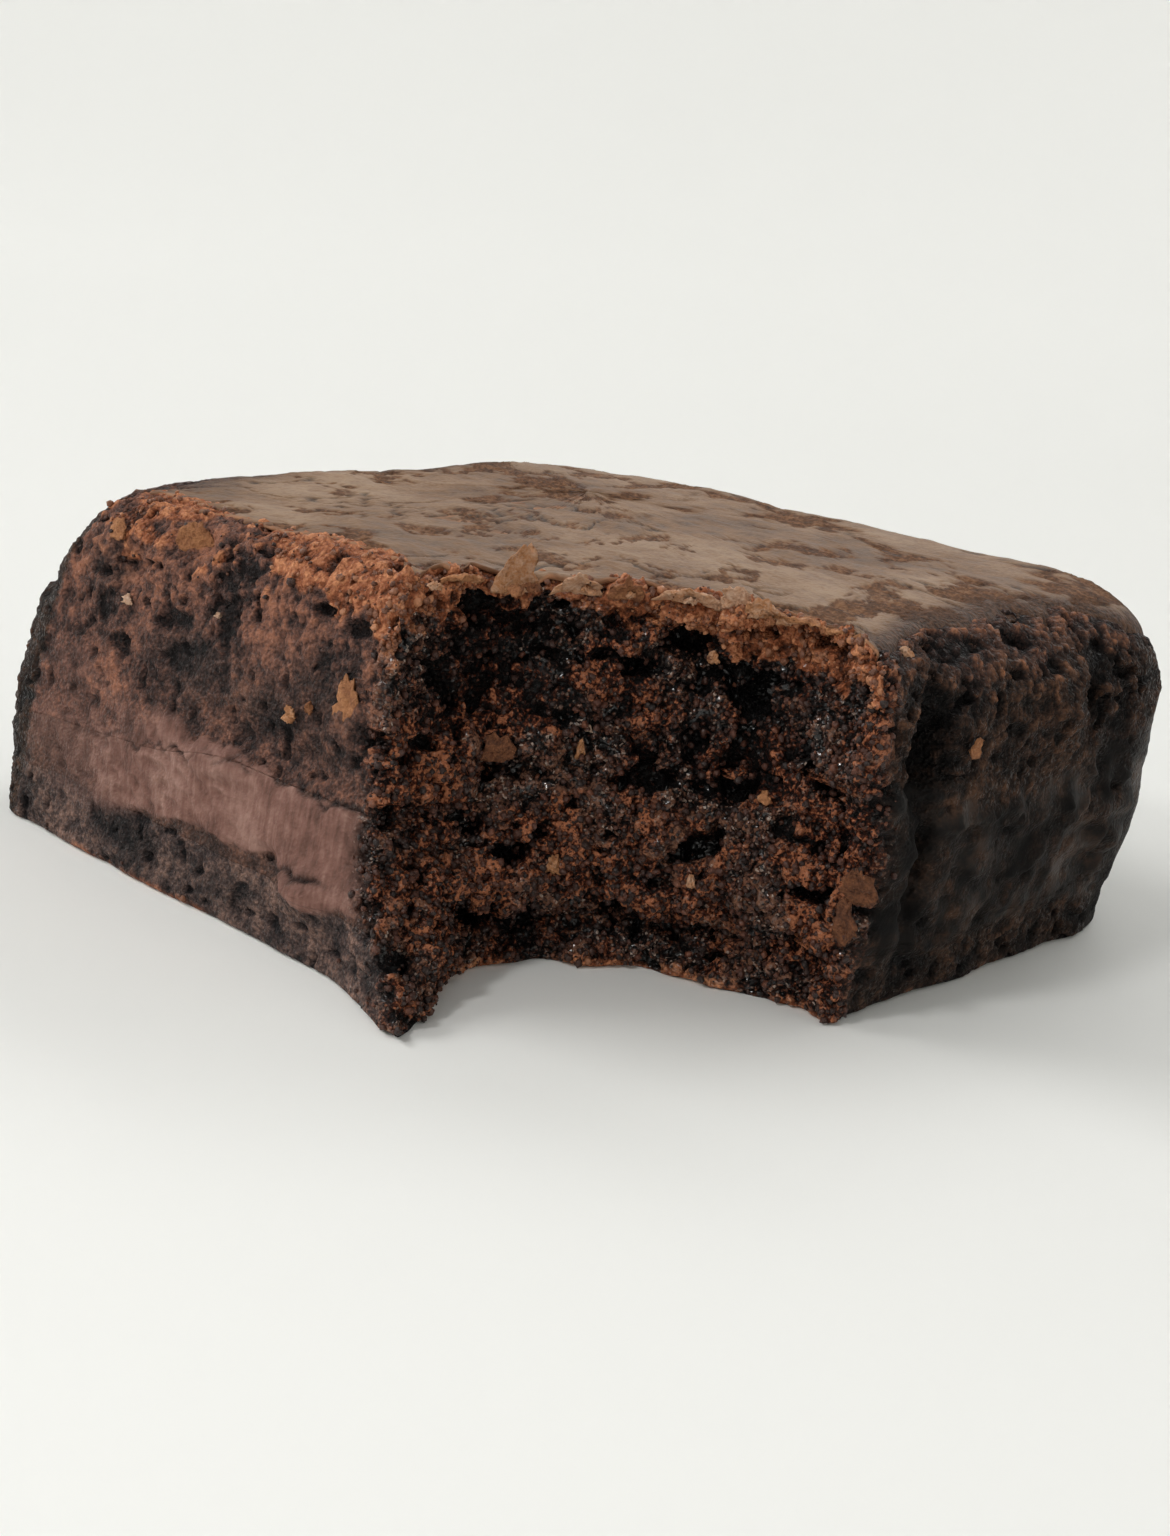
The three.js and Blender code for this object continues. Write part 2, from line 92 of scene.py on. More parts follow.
def ease(t):
    """Runs smoothly from 0 to 1 as t does, and stays level outside: t squared times (3 - 2t)."""
    t = np.clip(t, 0, 1)
    return t * t * (3 - 2 * t)


def bell(distance, width):
    """One at distance 0, falling away as e to the minus (distance over width) squared."""
    return np.exp(-((distance / width) ** 2))


def mix(a, b, t):
    """The value a share t of the way from a to b."""
    return a + (b - a) * t


def lattice_value(i, j, k):
    """A repeatable random number from 0 to 1 at a lattice corner: the broken part of a large sine."""
    large = np.sin(i * 127.1 + j * 311.7 + k * 74.7) * 43758.5453
    return large - np.floor(large)


def soft_noise(x, y, z):
    """Smooth noise from -1 to 1: the random numbers at the eight corners round a point, eased."""
    x, y, z = np.broadcast_arrays(x, y, z)
    i, j, k = np.floor(x), np.floor(y), np.floor(z)
    u, v, w = ease(x - i), ease(y - j), ease(z - k)

    def edge(dj, dk):
        return mix(lattice_value(i, j + dj, k + dk), lattice_value(i + 1, j + dj, k + dk), u)

    return 2 * mix(mix(edge(0, 0), edge(1, 0), v), mix(edge(0, 1), edge(1, 1), v), w) - 1


def grain(p, size, seed):
    """Packed round grains: 1 at a grain's middle down to 0 in the creases between them.

    One random point lies in each cell of a grid, and the value falls with the distance to the
    nearest of them."""
    q = p / size + seed
    cell = np.floor(q)
    nearest = np.full(q.shape[:-1], 9.0)
    for offset in product((-1, 0, 1), repeat=3):
        i, j, k = np.moveaxis(cell + offset, -1, 0)
        spot = np.stack([lattice_value(i, j, k), lattice_value(j, k, i), lattice_value(k, i, j)], -1)
        gap = cell + offset + spot - q
        nearest = np.minimum(nearest, (gap * gap).sum(-1))
    return 1 - np.minimum(np.sqrt(nearest), 1)


def side_lines(z):
    """The left, right, front and back lines of the slab at height z."""
    down = 1 - z / slab_height
    half_x = half_length + foot_spread_x * down
    half_y = half_width + foot_spread_y * down
    x = -foot_shift_x * down
    y = -foot_shift_y * down
    return x - half_x, x + half_x, y - half_y, y + half_y


def bite_circle(z):
    """The middle and radius of the bite at height z, mixed from its foot to its rim."""
    t = z / slab_height
    return mix(45.2, 46.0, t), mix(-42.5, -46.0, t), mix(28.4, 33.4, t)


def bare_outline(z):
    """The outline's point and outward direction at heights z, one for each column.

    Straight sides run between quarter circles, and the bite is an arc seen from inside. High up
    the right side runs on past the arc as a lip. Near the bite's two edges the directions of
    both faces are mixed, which rounds the edge."""
    left, right, front, back = side_lines(z)
    bite_x, bite_y, bite_r = bite_circle(z)
    r = corner_radius
    start = np.pi + np.arcsin((bite_y - front) / bite_r)
    end = np.arccos((right - bite_x) / bite_r)
    left_edge = np.stack([bite_x + bite_r * np.cos(start), front], -1)
    right_edge = np.stack([right, bite_y + bite_r * np.sin(end)], -1)
    t = np.broadcast_to(share_of, z.shape)
    quarters = by_side(2 + t, corner_right=t, corner_back=1 + t)
    turn = by_side(quarters * np.pi / 2, bite=mix(start, end, t))
    cos, sin = np.cos(turn), np.sin(turn)
    x = by_side(
        left + r + r * cos,
        front=mix(left + r, left_edge[..., 0], t),
        bite=bite_x + bite_r * cos,
        right=right,
        corner_right=right - r + r * cos,
        back=mix(right - r, left + r, t),
        left=left,
    )
    y = by_side(
        back - r + r * sin,
        front=front,
        bite=bite_y + bite_r * sin,
        right=mix(right_edge[..., 1], back - r, t),
        back=back,
        left=mix(back - r, front + r, t),
        corner_left=front + r + r * sin,
    )
    lip = -3.8 * ease((z - 18) / 12)
    y = y + lip * by_side(0, bite=ease((t - 0.66) / 0.34), right=1 - t)
    right_edge = right_edge + np.stack([np.zeros_like(lip), lip], -1)
    nx = by_side(cos, front=0, bite=-cos, right=1, back=0, left=-1)
    ny = by_side(sin, front=-1, bite=-sin, right=0, back=1, left=0)
    from_left = np.hypot(x - left_edge[..., 0], y - left_edge[..., 1])
    from_right = np.hypot(x - right_edge[..., 0], y - right_edge[..., 1])
    edge_share = (1 - ease(np.minimum(from_left, from_right) / 2.6)) / 2
    facing_front = -ny > nx
    nx = mix(nx, np.where(facing_front, 1, 0), edge_share)
    ny = mix(ny, np.where(facing_front, 0, -1), edge_share)
    length = np.hypot(nx, ny)
    return x, y, nx / length, ny / length, from_left, from_right


# Hollows and lumps that show on a side: place, height, width, tallness and how far they reach.
front_marks = np.array([
    [-20.5, 37, 3, 1.6, -2.2],
    [-30, 33, 2.6, 3, -1.8],
    [-9, 16.6, 4, 1.6, 0.9],
    [6.5, 7.6, 3.6, 2, 1.6],
    [0.5, 9.8, 2.2, 0.9, -0.9],
    [2, 20.5, 14, 2.6, -1],
])
right_marks = np.array([
    [-7.6, 28, 2.2, 4.6, -4.2],
    [-5.8, 15, 1.3, 8, -1.8],
    [2, 16, 7, 7, 1.1],
    [17, 30.5, 5, 4, 1.1],
    [22, 30, 2, 2.6, -2.2],
    [27, 17.5, 6, 1.7, 1.3],
    [28, 13.4, 6, 1.5, 1],
])
bite_marks = np.array([
    [160, 30, 5.5, 4, -4.4],
    [152, 36, 7, 4, -2.6],
    [104, 37, 5, 4, -1.4],
    [152, 23.6, 3, 2, 2],
    [157, 20.6, 2.6, 1.8, -2.4],
    [131, 24.2, 3, 1.4, -2.4],
    [114, 30.6, 3, 1.6, -2.6],
    [106, 27.2, 2.6, 1.6, -2.2],
    [96, 24.6, 2.4, 1.4, -2],
    [136, 13, 14, 3.4, 1],
    [106, 15, 10, 4, 1.2],
])


def marks(table, distance_to, z):
    """The sum of the marks: each is its reach times a bell along the side and a bell in height."""
    total = np.zeros_like(z)
    for place, height, wide, high, reach in table:
        total += reach * bell(distance_to(place), wide) * bell(z - height, high)
    return total


def bite_relief(x, y, z):
    """How far the torn face stands out in the bite: bands that run round it, and its marks."""
    bite_x, bite_y, bite_r = bite_circle(z)
    angle = np.degrees(np.arctan2(y - bite_y, x - bite_x)) % 360
    middle = np.sin(np.pi * np.clip((angle - 80) / 100, 0, 1))
    under_crust = -1.4 * bell(z - 34, 4)
    fudge_lip = 1.3 * bell(z - 10, 2.6)
    base_recess = -2.2 * bell(z - 4.6, 2)
    deeper = -1.4 * ease((z - 14) / 10)
    own_marks = marks(bite_marks, lambda place: bite_r * np.radians(angle - place), z)
    return under_crust + fudge_lip + middle * (deeper + base_recess) + own_marks


def face_relief(x, y, z):
    """How far each face stands out from the bare outline: a slight belly, its marks, and on the
    left end a torn step and a foot that is tucked under."""
    belly = 0.9 * np.sin(np.pi * np.clip(z / slab_height, 0, 1))
    step = mix(-2.8, -0.5, ease((27.5 - z) / 2.2))
    left_end = step - 4.4 * np.clip(1 - z / 9, 0, 1) ** 1.4
    return by_side(
        belly,
        bite=bite_relief(x, y, z),
        front=belly + marks(front_marks, lambda place: x - place, z),
        right=belly + marks(right_marks, lambda place: y - place, z),
        left=belly + left_end,
        corner_left=belly + left_end * (1 - ease(2 * share_of - 1)),
        corner_back=belly + left_end * ease(share_of),
    )


def side_point(z):
    """The point of the cake's side at heights z for every column, before the fine grain."""
    x, y, nx, ny, from_left, from_right = bare_outline(z)
    at_edge = bell(np.minimum(from_left, from_right), 3)
    coarse = soft_noise(x / 8, y / 8, z / 8)
    fine = soft_noise(x / 3.8 + 31, y / 3.8 + 17, z / 3.8 + 5)
    torn_clods = 0.6 * (2.4 * np.abs(coarse) - 0.9) + 0.4 * (2.4 * np.abs(fine) - 0.9)
    gentle_swell = 0.6 * coarse + 0.4 * fine
    torn_share = by_side(0.5 * at_edge, bite=1 - 0.5 * at_edge)
    unevenness = mix(gentle_swell, torn_clods, torn_share)
    reach = by_side(0.8, bite=1.7, front=0.6, right=0.9)
    lumps = mix(reach, 0.8, at_edge) * unevenness
    relief = face_relief(x, y, z) * mix(1, 0.3, at_edge)
    foot = -0.6 * np.clip(1 - z / 0.6, 0, 1) ** 2
    out = lumps + relief + foot
    tooth_wide = by_side(3.6, bite=7.5)
    tooth = ease(1.5 * bell(from_left, tooth_wide)) * (1 - ease(z / 13))
    return np.stack([x + nx * out + 8.6 * tooth, y + ny * out - 3.6 * tooth, z + 0 * x], -1)


def top_height(x, y):
    """The top's height: a low dome, a swell along the cut front, and the crust's gentle waves."""
    dome = 1.1 * (1 - (x / 60) ** 2) * (1 - (y / 52) ** 2)
    along_front = 1.3 * bell(x - 4, 24) * bell(y + 38, 13)
    waves = 0.35 * soft_noise(x / 13, y / 13, 21) + 0.2 * soft_noise(x / 5, y / 5, 4)
    return slab_height + dome + along_front + waves


def base_seam(x, y):
    """The height of the seam between the base and the fudge, which waves a little."""
    return 7.3 + 0.5 * soft_noise(x / 11, y / 11, 3)


def fudge_seam(x, y):
    """The height of the seam above the fudge, which is thicker to the right and thinner to the left."""
    return 17.6 + 8 * ease((x - 14) / 34) - 4 * ease((-6 - x) / 28) + 0.7 * soft_noise(x / 9, y / 9, 8)


def over_stations(measures, reach):
    """A measure of the sides at every column, mixed over this many stations either way with
    weights that fall evenly from the middle one."""
    bare = np.repeat(measures, station_counts)
    steps = range(-reach, reach + 1)
    mixed = sum((reach + 1 - abs(d)) * np.roll(bare, -d) for d in steps) / (reach + 1) ** 2
    return np.interp(station_of, np.arange(len(bare) + 1), np.append(mixed, mixed[0]))


inwards = over_stations(shoulder_in, 5)
down = over_stations(shoulder_down, 5)
bend = np.pi / 2 * np.sqrt((inwards**2 + down**2) / 2)
rim_x, rim_y, _, _, _, rim_from_right = bare_outline(np.full(len(side_of), slab_height))
shoulder_y = 4 + 28 * bell(rim_from_right, 14)
wall_top = top_height(rim_x, rim_y) - down
mid_x, mid_y = bare_outline(np.full(len(side_of), slab_height / 2))[:2]
base_seam_at = base_seam(mid_x, mid_y)
fudge_seam_at = fudge_seam(mid_x, mid_y)


def evened_out(values, reach):
    """The mean over the columns within reach, which keeps the lines over the top from crossing."""
    return sum(np.roll(values, d, -1) for d in range(-reach, reach + 1)) / (2 * reach + 1)


def cake_path(s):
    """The skin s millimetres past the top of the wall, for every column.

    Below 0 it is the wall, then the shoulder as a quarter of an ellipse over the length bend,
    drawn further back beside the bite's right edge, then the top, where the lines are evened out
    as they run to the middle of the rings."""
    turn = np.clip(s / bend, 0, 1) * np.pi / 2
    p = side_point(wall_top + np.minimum(s, 0) + down * np.sin(turn))
    x, y, z = np.moveaxis(p, -1, 0)
    share = inwards * (1 - np.cos(turn)) / np.hypot(shoulder_x - x, shoulder_y - y)
    x = mix(x, shoulder_x, share)
    y = mix(y, shoulder_y, share)
    for reach, start, over in ((10, 0, 1.5), (40, 0.5, 5)):
        evened = ease((s - bend - start) / over)
        x = mix(x, evened_out(x, reach), evened)
        y = mix(y, evened_out(y, reach), evened)
    on_flat = np.minimum(np.maximum(s - bend, 0) / np.hypot(ring_x - x, ring_y - y), 1)
    x = mix(x, ring_x, on_flat)
    y = mix(y, ring_y, on_flat)
    z = z + np.sin(turn) * (top_height(x, y) - top_height(rim_x, rim_y))
    return np.stack([x, y, z], -1)


def grid_normals(p):
    """Outward directions of a grid of rows and columns that closes round: the cross product of
    the step to the next column and the step to the next row."""
    across = np.roll(p, -1, 1) - np.roll(p, 1, 1)
    up = np.gradient(p, axis=0)
    n = np.cross(across, up)
    return n / np.maximum(np.linalg.norm(n, axis=-1, keepdims=True), 1e-9)


def seam_edge(x):
    """The ragged upper edge of the fudge that shows on the front, as a height for each x."""
    return 0.5 * soft_noise(x / 2.3, 7, 1) + 0.3 * soft_noise(x / 0.9, 3, 5)


# Where the cut front is moist and blue-black: place, height, width, tallness and strength.
dark_places = np.array([
    [-17, 25.5, 6, 4, 0.8],
    [1, 23.5, 13, 4, 0.8],
    [6, 29, 8, 3.5, 0.4],
    [-33.4, 31, 3.5, 4, 0.6],
    [-44, 4, 5, 4, 0.8],
    [-6, 3.5, 14, 2.5, 0.5],
    [-24, 4.5, 5, 3, 0.7],
])


def skin_weights(p):
    """Shares from 0 to 1 for each point: torn crumb, fudge smeared by the knife, the slick dark
    skin of the baked sides, crumbling face, warm orange-brown crumb, moist blue-black places on
    the cut front, and sides baked against the tray."""
    x, y, z = np.moveaxis(p, -1, 0)
    _, _, _, _, from_left, from_right = bare_outline(z)
    patches = soft_noise(x / 6, y / 6, z / 6 + 40)
    specks = soft_noise(x / 1.6, y / 1.6, z / 1.6 + 9)
    ragged = 0.7 * patches + 0.5 * specks
    near_left = bell(from_left, 2.4)
    near_right = bell(from_right, 1.6)
    torn = by_side(np.maximum(near_left, near_right), bite=1)
    upper_edge = fudge_seam_at + seam_edge(x) + 1.2 + 8.2 * ease((-9 - x) / 26)
    upper_edge += 1.5 * ragged * ease((-10 - x) / 4) - 1.2 * ease((x + 6) / 8)
    lower_edge = 8.6 + 0.9 * ragged - 0.8 * ease((x - 2) / 6) - 4 * ease((-10 - x) / 22)
    lower_edge -= 1.8 * bell(x - 7.5, 3.5)
    smear = (
        ease((upper_edge - z) / (0.5 + 3 * ease((-12 - x) / 12)))
        * ease((z - lower_edge) / (0.8 + 2 * ease((-14 - x) / 12)))
        * ease((x + 46 + 5 * patches) / 32 + 0.3 * ragged * ease((-12 - x) / 6))
        * (1 - ease((x - 14.5 - ragged) / 2))
    )
    seam_line = bell(z - fudge_seam_at - 1.5 * seam_edge(x + 9), 0.3)
    seam_line *= ease((x + 34) / 8) * ease(0.6 + patches)
    seam_line += bell(z - 9.3 - 1.2 * seam_edge(x + 30), 0.35) * ease(1.6 * bell(x - 4.5, 5))
    smear = by_side(0, front=smear * (1 - 0.8 * seam_line)) * (1 - torn)
    slick_right = (
        ease((24 + 6 * patches + 1.5 * specks - z) / 4)
        * ease((z - 4.5 - 1.5 * ragged) / 2.5)
        * ease((y + 14 + ragged) / 2)
        * (0.75 + 0.5 * specks)
    )
    others = 0.7 * ease((30 + 4 * patches - z) / 6)
    slick = by_side(others, right=slick_right, front=0, bite=0, corner_left=0, left=0)
    slick = np.clip(slick, 0, 1) * (1 - torn)
    crumble_front = 0.45 + 0.55 * ease((z - 27 + 4 * patches) / 7)
    crumble_right = 0.7 + 0.25 * ease((z - 27 + 3 * patches) / 5)
    crumble = by_side(0.5, front=crumble_front, right=crumble_right, corner_left=0.6)
    crumble = crumble * (1 - smear) * (1 - 0.85 * slick)
    rim_bite = ease((z - 36.2 + 1.9 * ease((x - 17) / 6) + 2.4 * ragged + specks) / 1.8)
    rim_front = 0.9 * ease((z - 34.5 + 4.5 * patches + 3 * specks) / 4)
    rim_right = 0.2 * ease((z - 32 + 4 * patches + 2 * specks) / 4)
    foot_edge = by_side(0.3, bite=0.8, front=0.8) * bell(z, 1.1) * ease(0.7 + patches)
    warm = by_side(0.1, bite=rim_bite, front=rim_front, right=rim_right)
    warm = np.clip(np.maximum(warm, foot_edge), 0, 1)
    front_gloom = marks(dark_places, lambda place: x - place, z) * (1 + 0.6 * ragged) + 0.8 * seam_line
    gloom = np.clip(front_gloom, 0, 1) * on["front"] * (1 - torn)
    baked = by_side(1 - torn, front=0, bite=0) * (1 - 0.4 * ease((z - 34 + 2 * patches) / 4))
    shares = (torn, smear, slick, crumble, warm, gloom, baked)
    return dict(zip(("torn", "smear", "slick", "crumble", "warm", "gloom", "baked"), shares))


def wobble(p, size, seeds):
    """A smooth random push for each point: three noises of this size, one for each direction."""
    return np.stack([soft_noise(*np.moveaxis(p / size + seed, -1, 0)) for seed in seeds], -1)


def crumb_relief(p):
    """The fine relief of the crumb and how proud each point stands, from -1 to 1.

    Three sizes of packed grain are added, coarse and deep where the cake is torn, and noise
    above a threshold opens pores. Smeared fudge has knife lines instead, and soft ridges to the
    left, and the slick side has soft folds: both are 1 minus about twice the size of a noise."""
    x, y, z = np.moveaxis(p, -1, 0)
    weights = skin_weights(p)
    torn, smear, crumble = weights["torn"], weights["smear"], weights["crumble"]
    bent = p + 0.7 * wobble(p, 1.9, (2, 13, 37))
    clods = grain(bent, 2.9, 3.0) - 0.42
    lumps = grain(bent, 1.4, 11.0) - 0.42
    grits = grain(p, 0.7, 23.0) - 0.42
    bx, by, bz = np.moveaxis(bent, -1, 0)
    cavern = ease((soft_noise(bx / 3.6 + 5, by / 3.6, bz / 2.5 + 2) - 0.36) / 0.3)
    pore = ease((soft_noise(bx / 1.5 + 8, by / 1.5, bz / 1.5 + 3) - 0.45) / 0.25)
    specks = grain(p, 0.42, 41.0) - 0.42
    torn_relief = 1.9 * clods + 0.85 * lumps + 0.62 * grits + 0.3 * specks - 2.6 * cavern - 0.9 * pore
    cut_relief = crumble * (0.5 * clods + 0.65 * lumps + 0.45 * grits - 0.7 * cavern - 1.1 * pore)
    knife = 0.07 * soft_noise(x / 0.45, y / 3, z / 9) + 0.1 * soft_noise(x / 2.2, y / 2.2, z / 6)
    bent_z = z + 2.2 * soft_noise(y / 6, z / 6, 12)
    folds = 1 - 2 * np.abs(soft_noise(y / 9 + 2, bent_z / 6, 6))
    folds += 0.35 - 0.7 * np.abs(soft_noise(y / 3.6, bent_z / 2.6, 16))
    right_hollow = np.clip(0.3 * marks(right_marks, lambda place: y - place, z), -0.9, 0.1)
    right_hollow = by_side(0, right=right_hollow)
    cut_relief = cut_relief + 0.95 * folds * on["right"] * weights["slick"] + 1.5 * right_hollow
    ridges = 1 - 2.4 * np.abs(soft_noise(x / 2 + 0.3 * z, 50, z / 1.5)) + 0.5 * soft_noise(x, 51, z)
    ridges = ridges * ease((4 - x) / 14)
    relief = mix(mix(cut_relief, knife + 0.35 + 0.16 * ridges, smear), torn_relief, torn)
    cut_proud = crumble * (0.8 * clods + 1.2 * lumps + 1.0 * grits - 1.3 * pore - cavern)
    proud = mix(cut_proud, 0.1 + 0.2 * ridges, smear)
    # Painted shade: the bite's deep hollows and the hole in the right side lower proud, which darkens them.
    bite_hollow_shade = np.clip(0.13 * bite_relief(x, y, z) + 0.1, -0.6, 0.25)
    hollow = by_side(right_hollow, bite=bite_hollow_shade)
    torn_proud = 0.9 * clods + 0.9 * lumps + 1.0 * grits + 0.8 * specks - 1.4 * cavern - 0.9 * pore
    proud = mix(proud, torn_proud, torn) + hollow
    return relief, np.clip(1.3 * proud, -1, 1), weights


def textured(p, share=1.0):
    """The rows of bare skin moved out along their normals by the crumb's relief, times share.

    Torn crumb is also pushed a little along the face, so that clods overhang. The foot stays
    level on z = 0."""
    relief, proud, weights = crumb_relief(p)
    torn = weights["torn"]
    fade = share * ease(p[..., 2] / 0.9)
    sideways = 0.3 * wobble(p, 1.4, (4, 29, 57)) * (torn * fade)[..., None]
    moved = p + grid_normals(p) * (relief * fade)[..., None] + sideways
    moved[..., 2] = np.maximum(moved[..., 2], 0)
    return moved, {"proud": proud, **weights}


millimetre = 0.001


def put_in_frame(p):
    """Millimetres about the slab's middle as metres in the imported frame, whose origin is the
    outline's middle."""
    return (p - outline_middle) * millimetre


def smooth_mesh(name, points, faces, finish):
    """A smooth mesh of these points and faces, with its finish."""
    mesh = bpy.data.meshes.new(name)
    mesh.from_pydata(points.tolist(), [], faces)
    mesh.polygons.foreach_set("use_smooth", np.ones(len(mesh.polygons), bool))
    mesh.materials.append(finish)
    return mesh


def placed(name, data):
    """A new object in the scene that carries this mesh, lamp or lens."""
    thing = bpy.data.objects.new(name, data)
    bpy.context.scene.collection.objects.link(thing)
    return thing


def new_piece(name, points, faces, finish, values):
    """A piece that rides on the one body, with the values that its finish reads at each point."""
    mesh = smooth_mesh(name, put_in_frame(points), faces, finish)
    for key, value in values.items():
        stored = mesh.attributes.new(key, "FLOAT", "POINT")
        stored.data.foreach_set("value", np.asarray(value, np.float32))
    piece = placed(name, mesh)
    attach(piece, "root")
    return piece


def ring_faces(rows, columns):
    """Faces of a closed skin of rings: a bottom point, the rings from the lowest, a top point."""
    row, column = np.meshgrid(np.arange(rows - 1), np.arange(columns), indexing="ij")
    a = 1 + row * columns + column
    b = 1 + row * columns + (column + 1) % columns
    quads = np.stack([a, b, b + columns, a + columns], -1).reshape(-1, 4).tolist()
    ring = np.arange(columns)
    following = (ring + 1) % columns
    last = 1 + (rows - 1) * columns
    lower = np.stack([np.zeros_like(ring), 1 + following, 1 + ring], -1).tolist()
    upper = np.stack([last + ring, last + following, np.full_like(ring, last + columns)], -1).tolist()
    return quads + lower + upper


def lid(ring, height, shares, dip):
    """Copies of a ring drawn in by each share towards a middle point at this height, and moved up
    or down by dip, and that point."""
    middle = np.array([ring_x, ring_y, height])
    return np.array([mix(ring, middle, share) + [0, 0, dip] for share in shares]), middle


def closed_layer(name, part, low_lid, high_lid, finish):
    """One layer as a closed skin: the lid below, the rows of textured wall, the lid above."""
    low_rings, low_middle = low_lid
    high_rings, high_middle = high_lid
    rows = np.concatenate([low_rings, skin[part], high_rings])
    points = np.concatenate([[low_middle], rows.reshape(-1, 3), [high_middle]])

    def for_all_points(value):
        below = np.repeat(value[:1], len(low_rings), 0)
        above = np.repeat(value[-1:], len(high_rings), 0)
        return np.concatenate([[0], below.ravel(), value.ravel(), above.ravel(), [0]])

    values = {key: for_all_points(value[part]) for key, value in skin_values.items()}
    return new_piece(name, points, ring_faces(len(rows), rows.shape[1]), finish, values)


class Socket:
    """A shader value: sums and products of sockets and numbers add Math nodes to the finish."""

    def __init__(self, finish, output):
        self.finish = finish
        self.output = output

    def math(self, operation, first, second):
        return self.finish.add("ShaderNodeMath", {"operation": operation}, {0: first, 1: second})

    def __add__(self, other):
        return self.math("ADD", self, other)

    def __sub__(self, other):
        return self.math("SUBTRACT", self, other)

    def __rsub__(self, other):
        return self.math("SUBTRACT", other, self)

    def __mul__(self, other):
        return self.math("MULTIPLY", self, other)

    __radd__ = __add__
    __rmul__ = __mul__


class Finish:
    """A material under construction, with one method that adds any node."""

    def __init__(self, name):
        self.material = bpy.data.materials.new(name)
        self.material.use_nodes = True
        self.tree = self.material.node_tree
        self.tree.nodes.clear()
        self.place = self.add("ShaderNodeTexCoord", {}, {}, "Object")

    def add(self, kind, settings, inputs, output=0):
        """Adds a node, makes its settings, then fills its sockets with values or links."""
        node = self.tree.nodes.new(kind)
        for key, value in settings.items():
            if key == "stops":
                self.fill_ramp(node.color_ramp, value)
            else:
                setattr(node, key, value)
        for key, value in inputs.items():
            if isinstance(value, Socket):
                self.tree.links.new(value.output, node.inputs[key])
            else:
                node.inputs[key].default_value = value
        return Socket(self, node.outputs[output])

    def fill_ramp(self, ramp, stops):
        """Gives a colour ramp these stops, each a position, red, green and blue."""
        while len(ramp.elements) > 1:
            ramp.elements.remove(ramp.elements[-1])
        for number, (position, *colour) in enumerate(stops):
            stop = ramp.elements[0] if number == 0 else ramp.elements.new(position)
            stop.position = position
            stop.color = (*colour, 1)

    def point_value(self, name):
        """The value stored at the mesh's points under this name."""
        return self.add("ShaderNodeAttribute", {"attribute_name": name}, {}, "Fac")

    def noise(self, size, detail=2.0, stretch=(1, 1, 1)):
        """Noise from 0 to 1 with features of this size in millimetres, longer where stretched."""
        place = self.place
        if stretch != (1, 1, 1):
            scale = tuple(1 / s for s in stretch)
            place = self.add("ShaderNodeMapping", {}, {"Vector": place, "Scale": scale})
        inputs = {"Vector": place, "Scale": 1000 / size, "Detail": detail}
        return self.add("ShaderNodeTexNoise", {}, inputs, "Fac")

    def cells(self, size, output):
        """A Voronoi pattern with cells of this size in millimetres."""
        inputs = {"Vector": self.place, "Scale": 1000 / size}
        return self.add("ShaderNodeTexVoronoi", {}, inputs, output)

    def step(self, value, low, high):
        """0 where the value is under low, 1 where it is over high, eased between them."""
        inputs = {"Value": value, "From Min": low, "From Max": high}
        return self.add("ShaderNodeMapRange", {"interpolation_type": "SMOOTHSTEP"}, inputs, "Result")

    def ramp(self, value, stops):
        """A colour read off a ramp of stops."""
        return self.add("ShaderNodeValToRGB", {"stops": stops}, {"Fac": value}, "Color")

    def blend(self, mask, under, over, how="MIX"):
        """One colour laid over another where the mask is 1."""
        inputs = {
            0: mask,
            6: under if isinstance(under, Socket) else (*under, 1),
            7: over if isinstance(over, Socket) else (*over, 1),
        }
        return self.add("ShaderNodeMix", {"data_type": "RGBA", "blend_type": how}, inputs, 2)

    def done(self, colour, roughness, height, depth, constants=None):
        """Joins the colour, the roughness and a bump of this depth in millimetres to the surface."""
        inputs = {"Height": height, "Distance": depth * millimetre, "Strength": 1.0}
        normal = self.add("ShaderNodeBump", {}, inputs, "Normal")
        surface = {"Base Color": colour, "Roughness": roughness, "Normal": normal, **(constants or {})}
        shader = self.add("ShaderNodeBsdfPrincipled", {}, surface, "BSDF")
        end = self.tree.nodes.new("ShaderNodeOutputMaterial")
        self.tree.links.new(shader.output, end.inputs["Surface"])
        return self.material


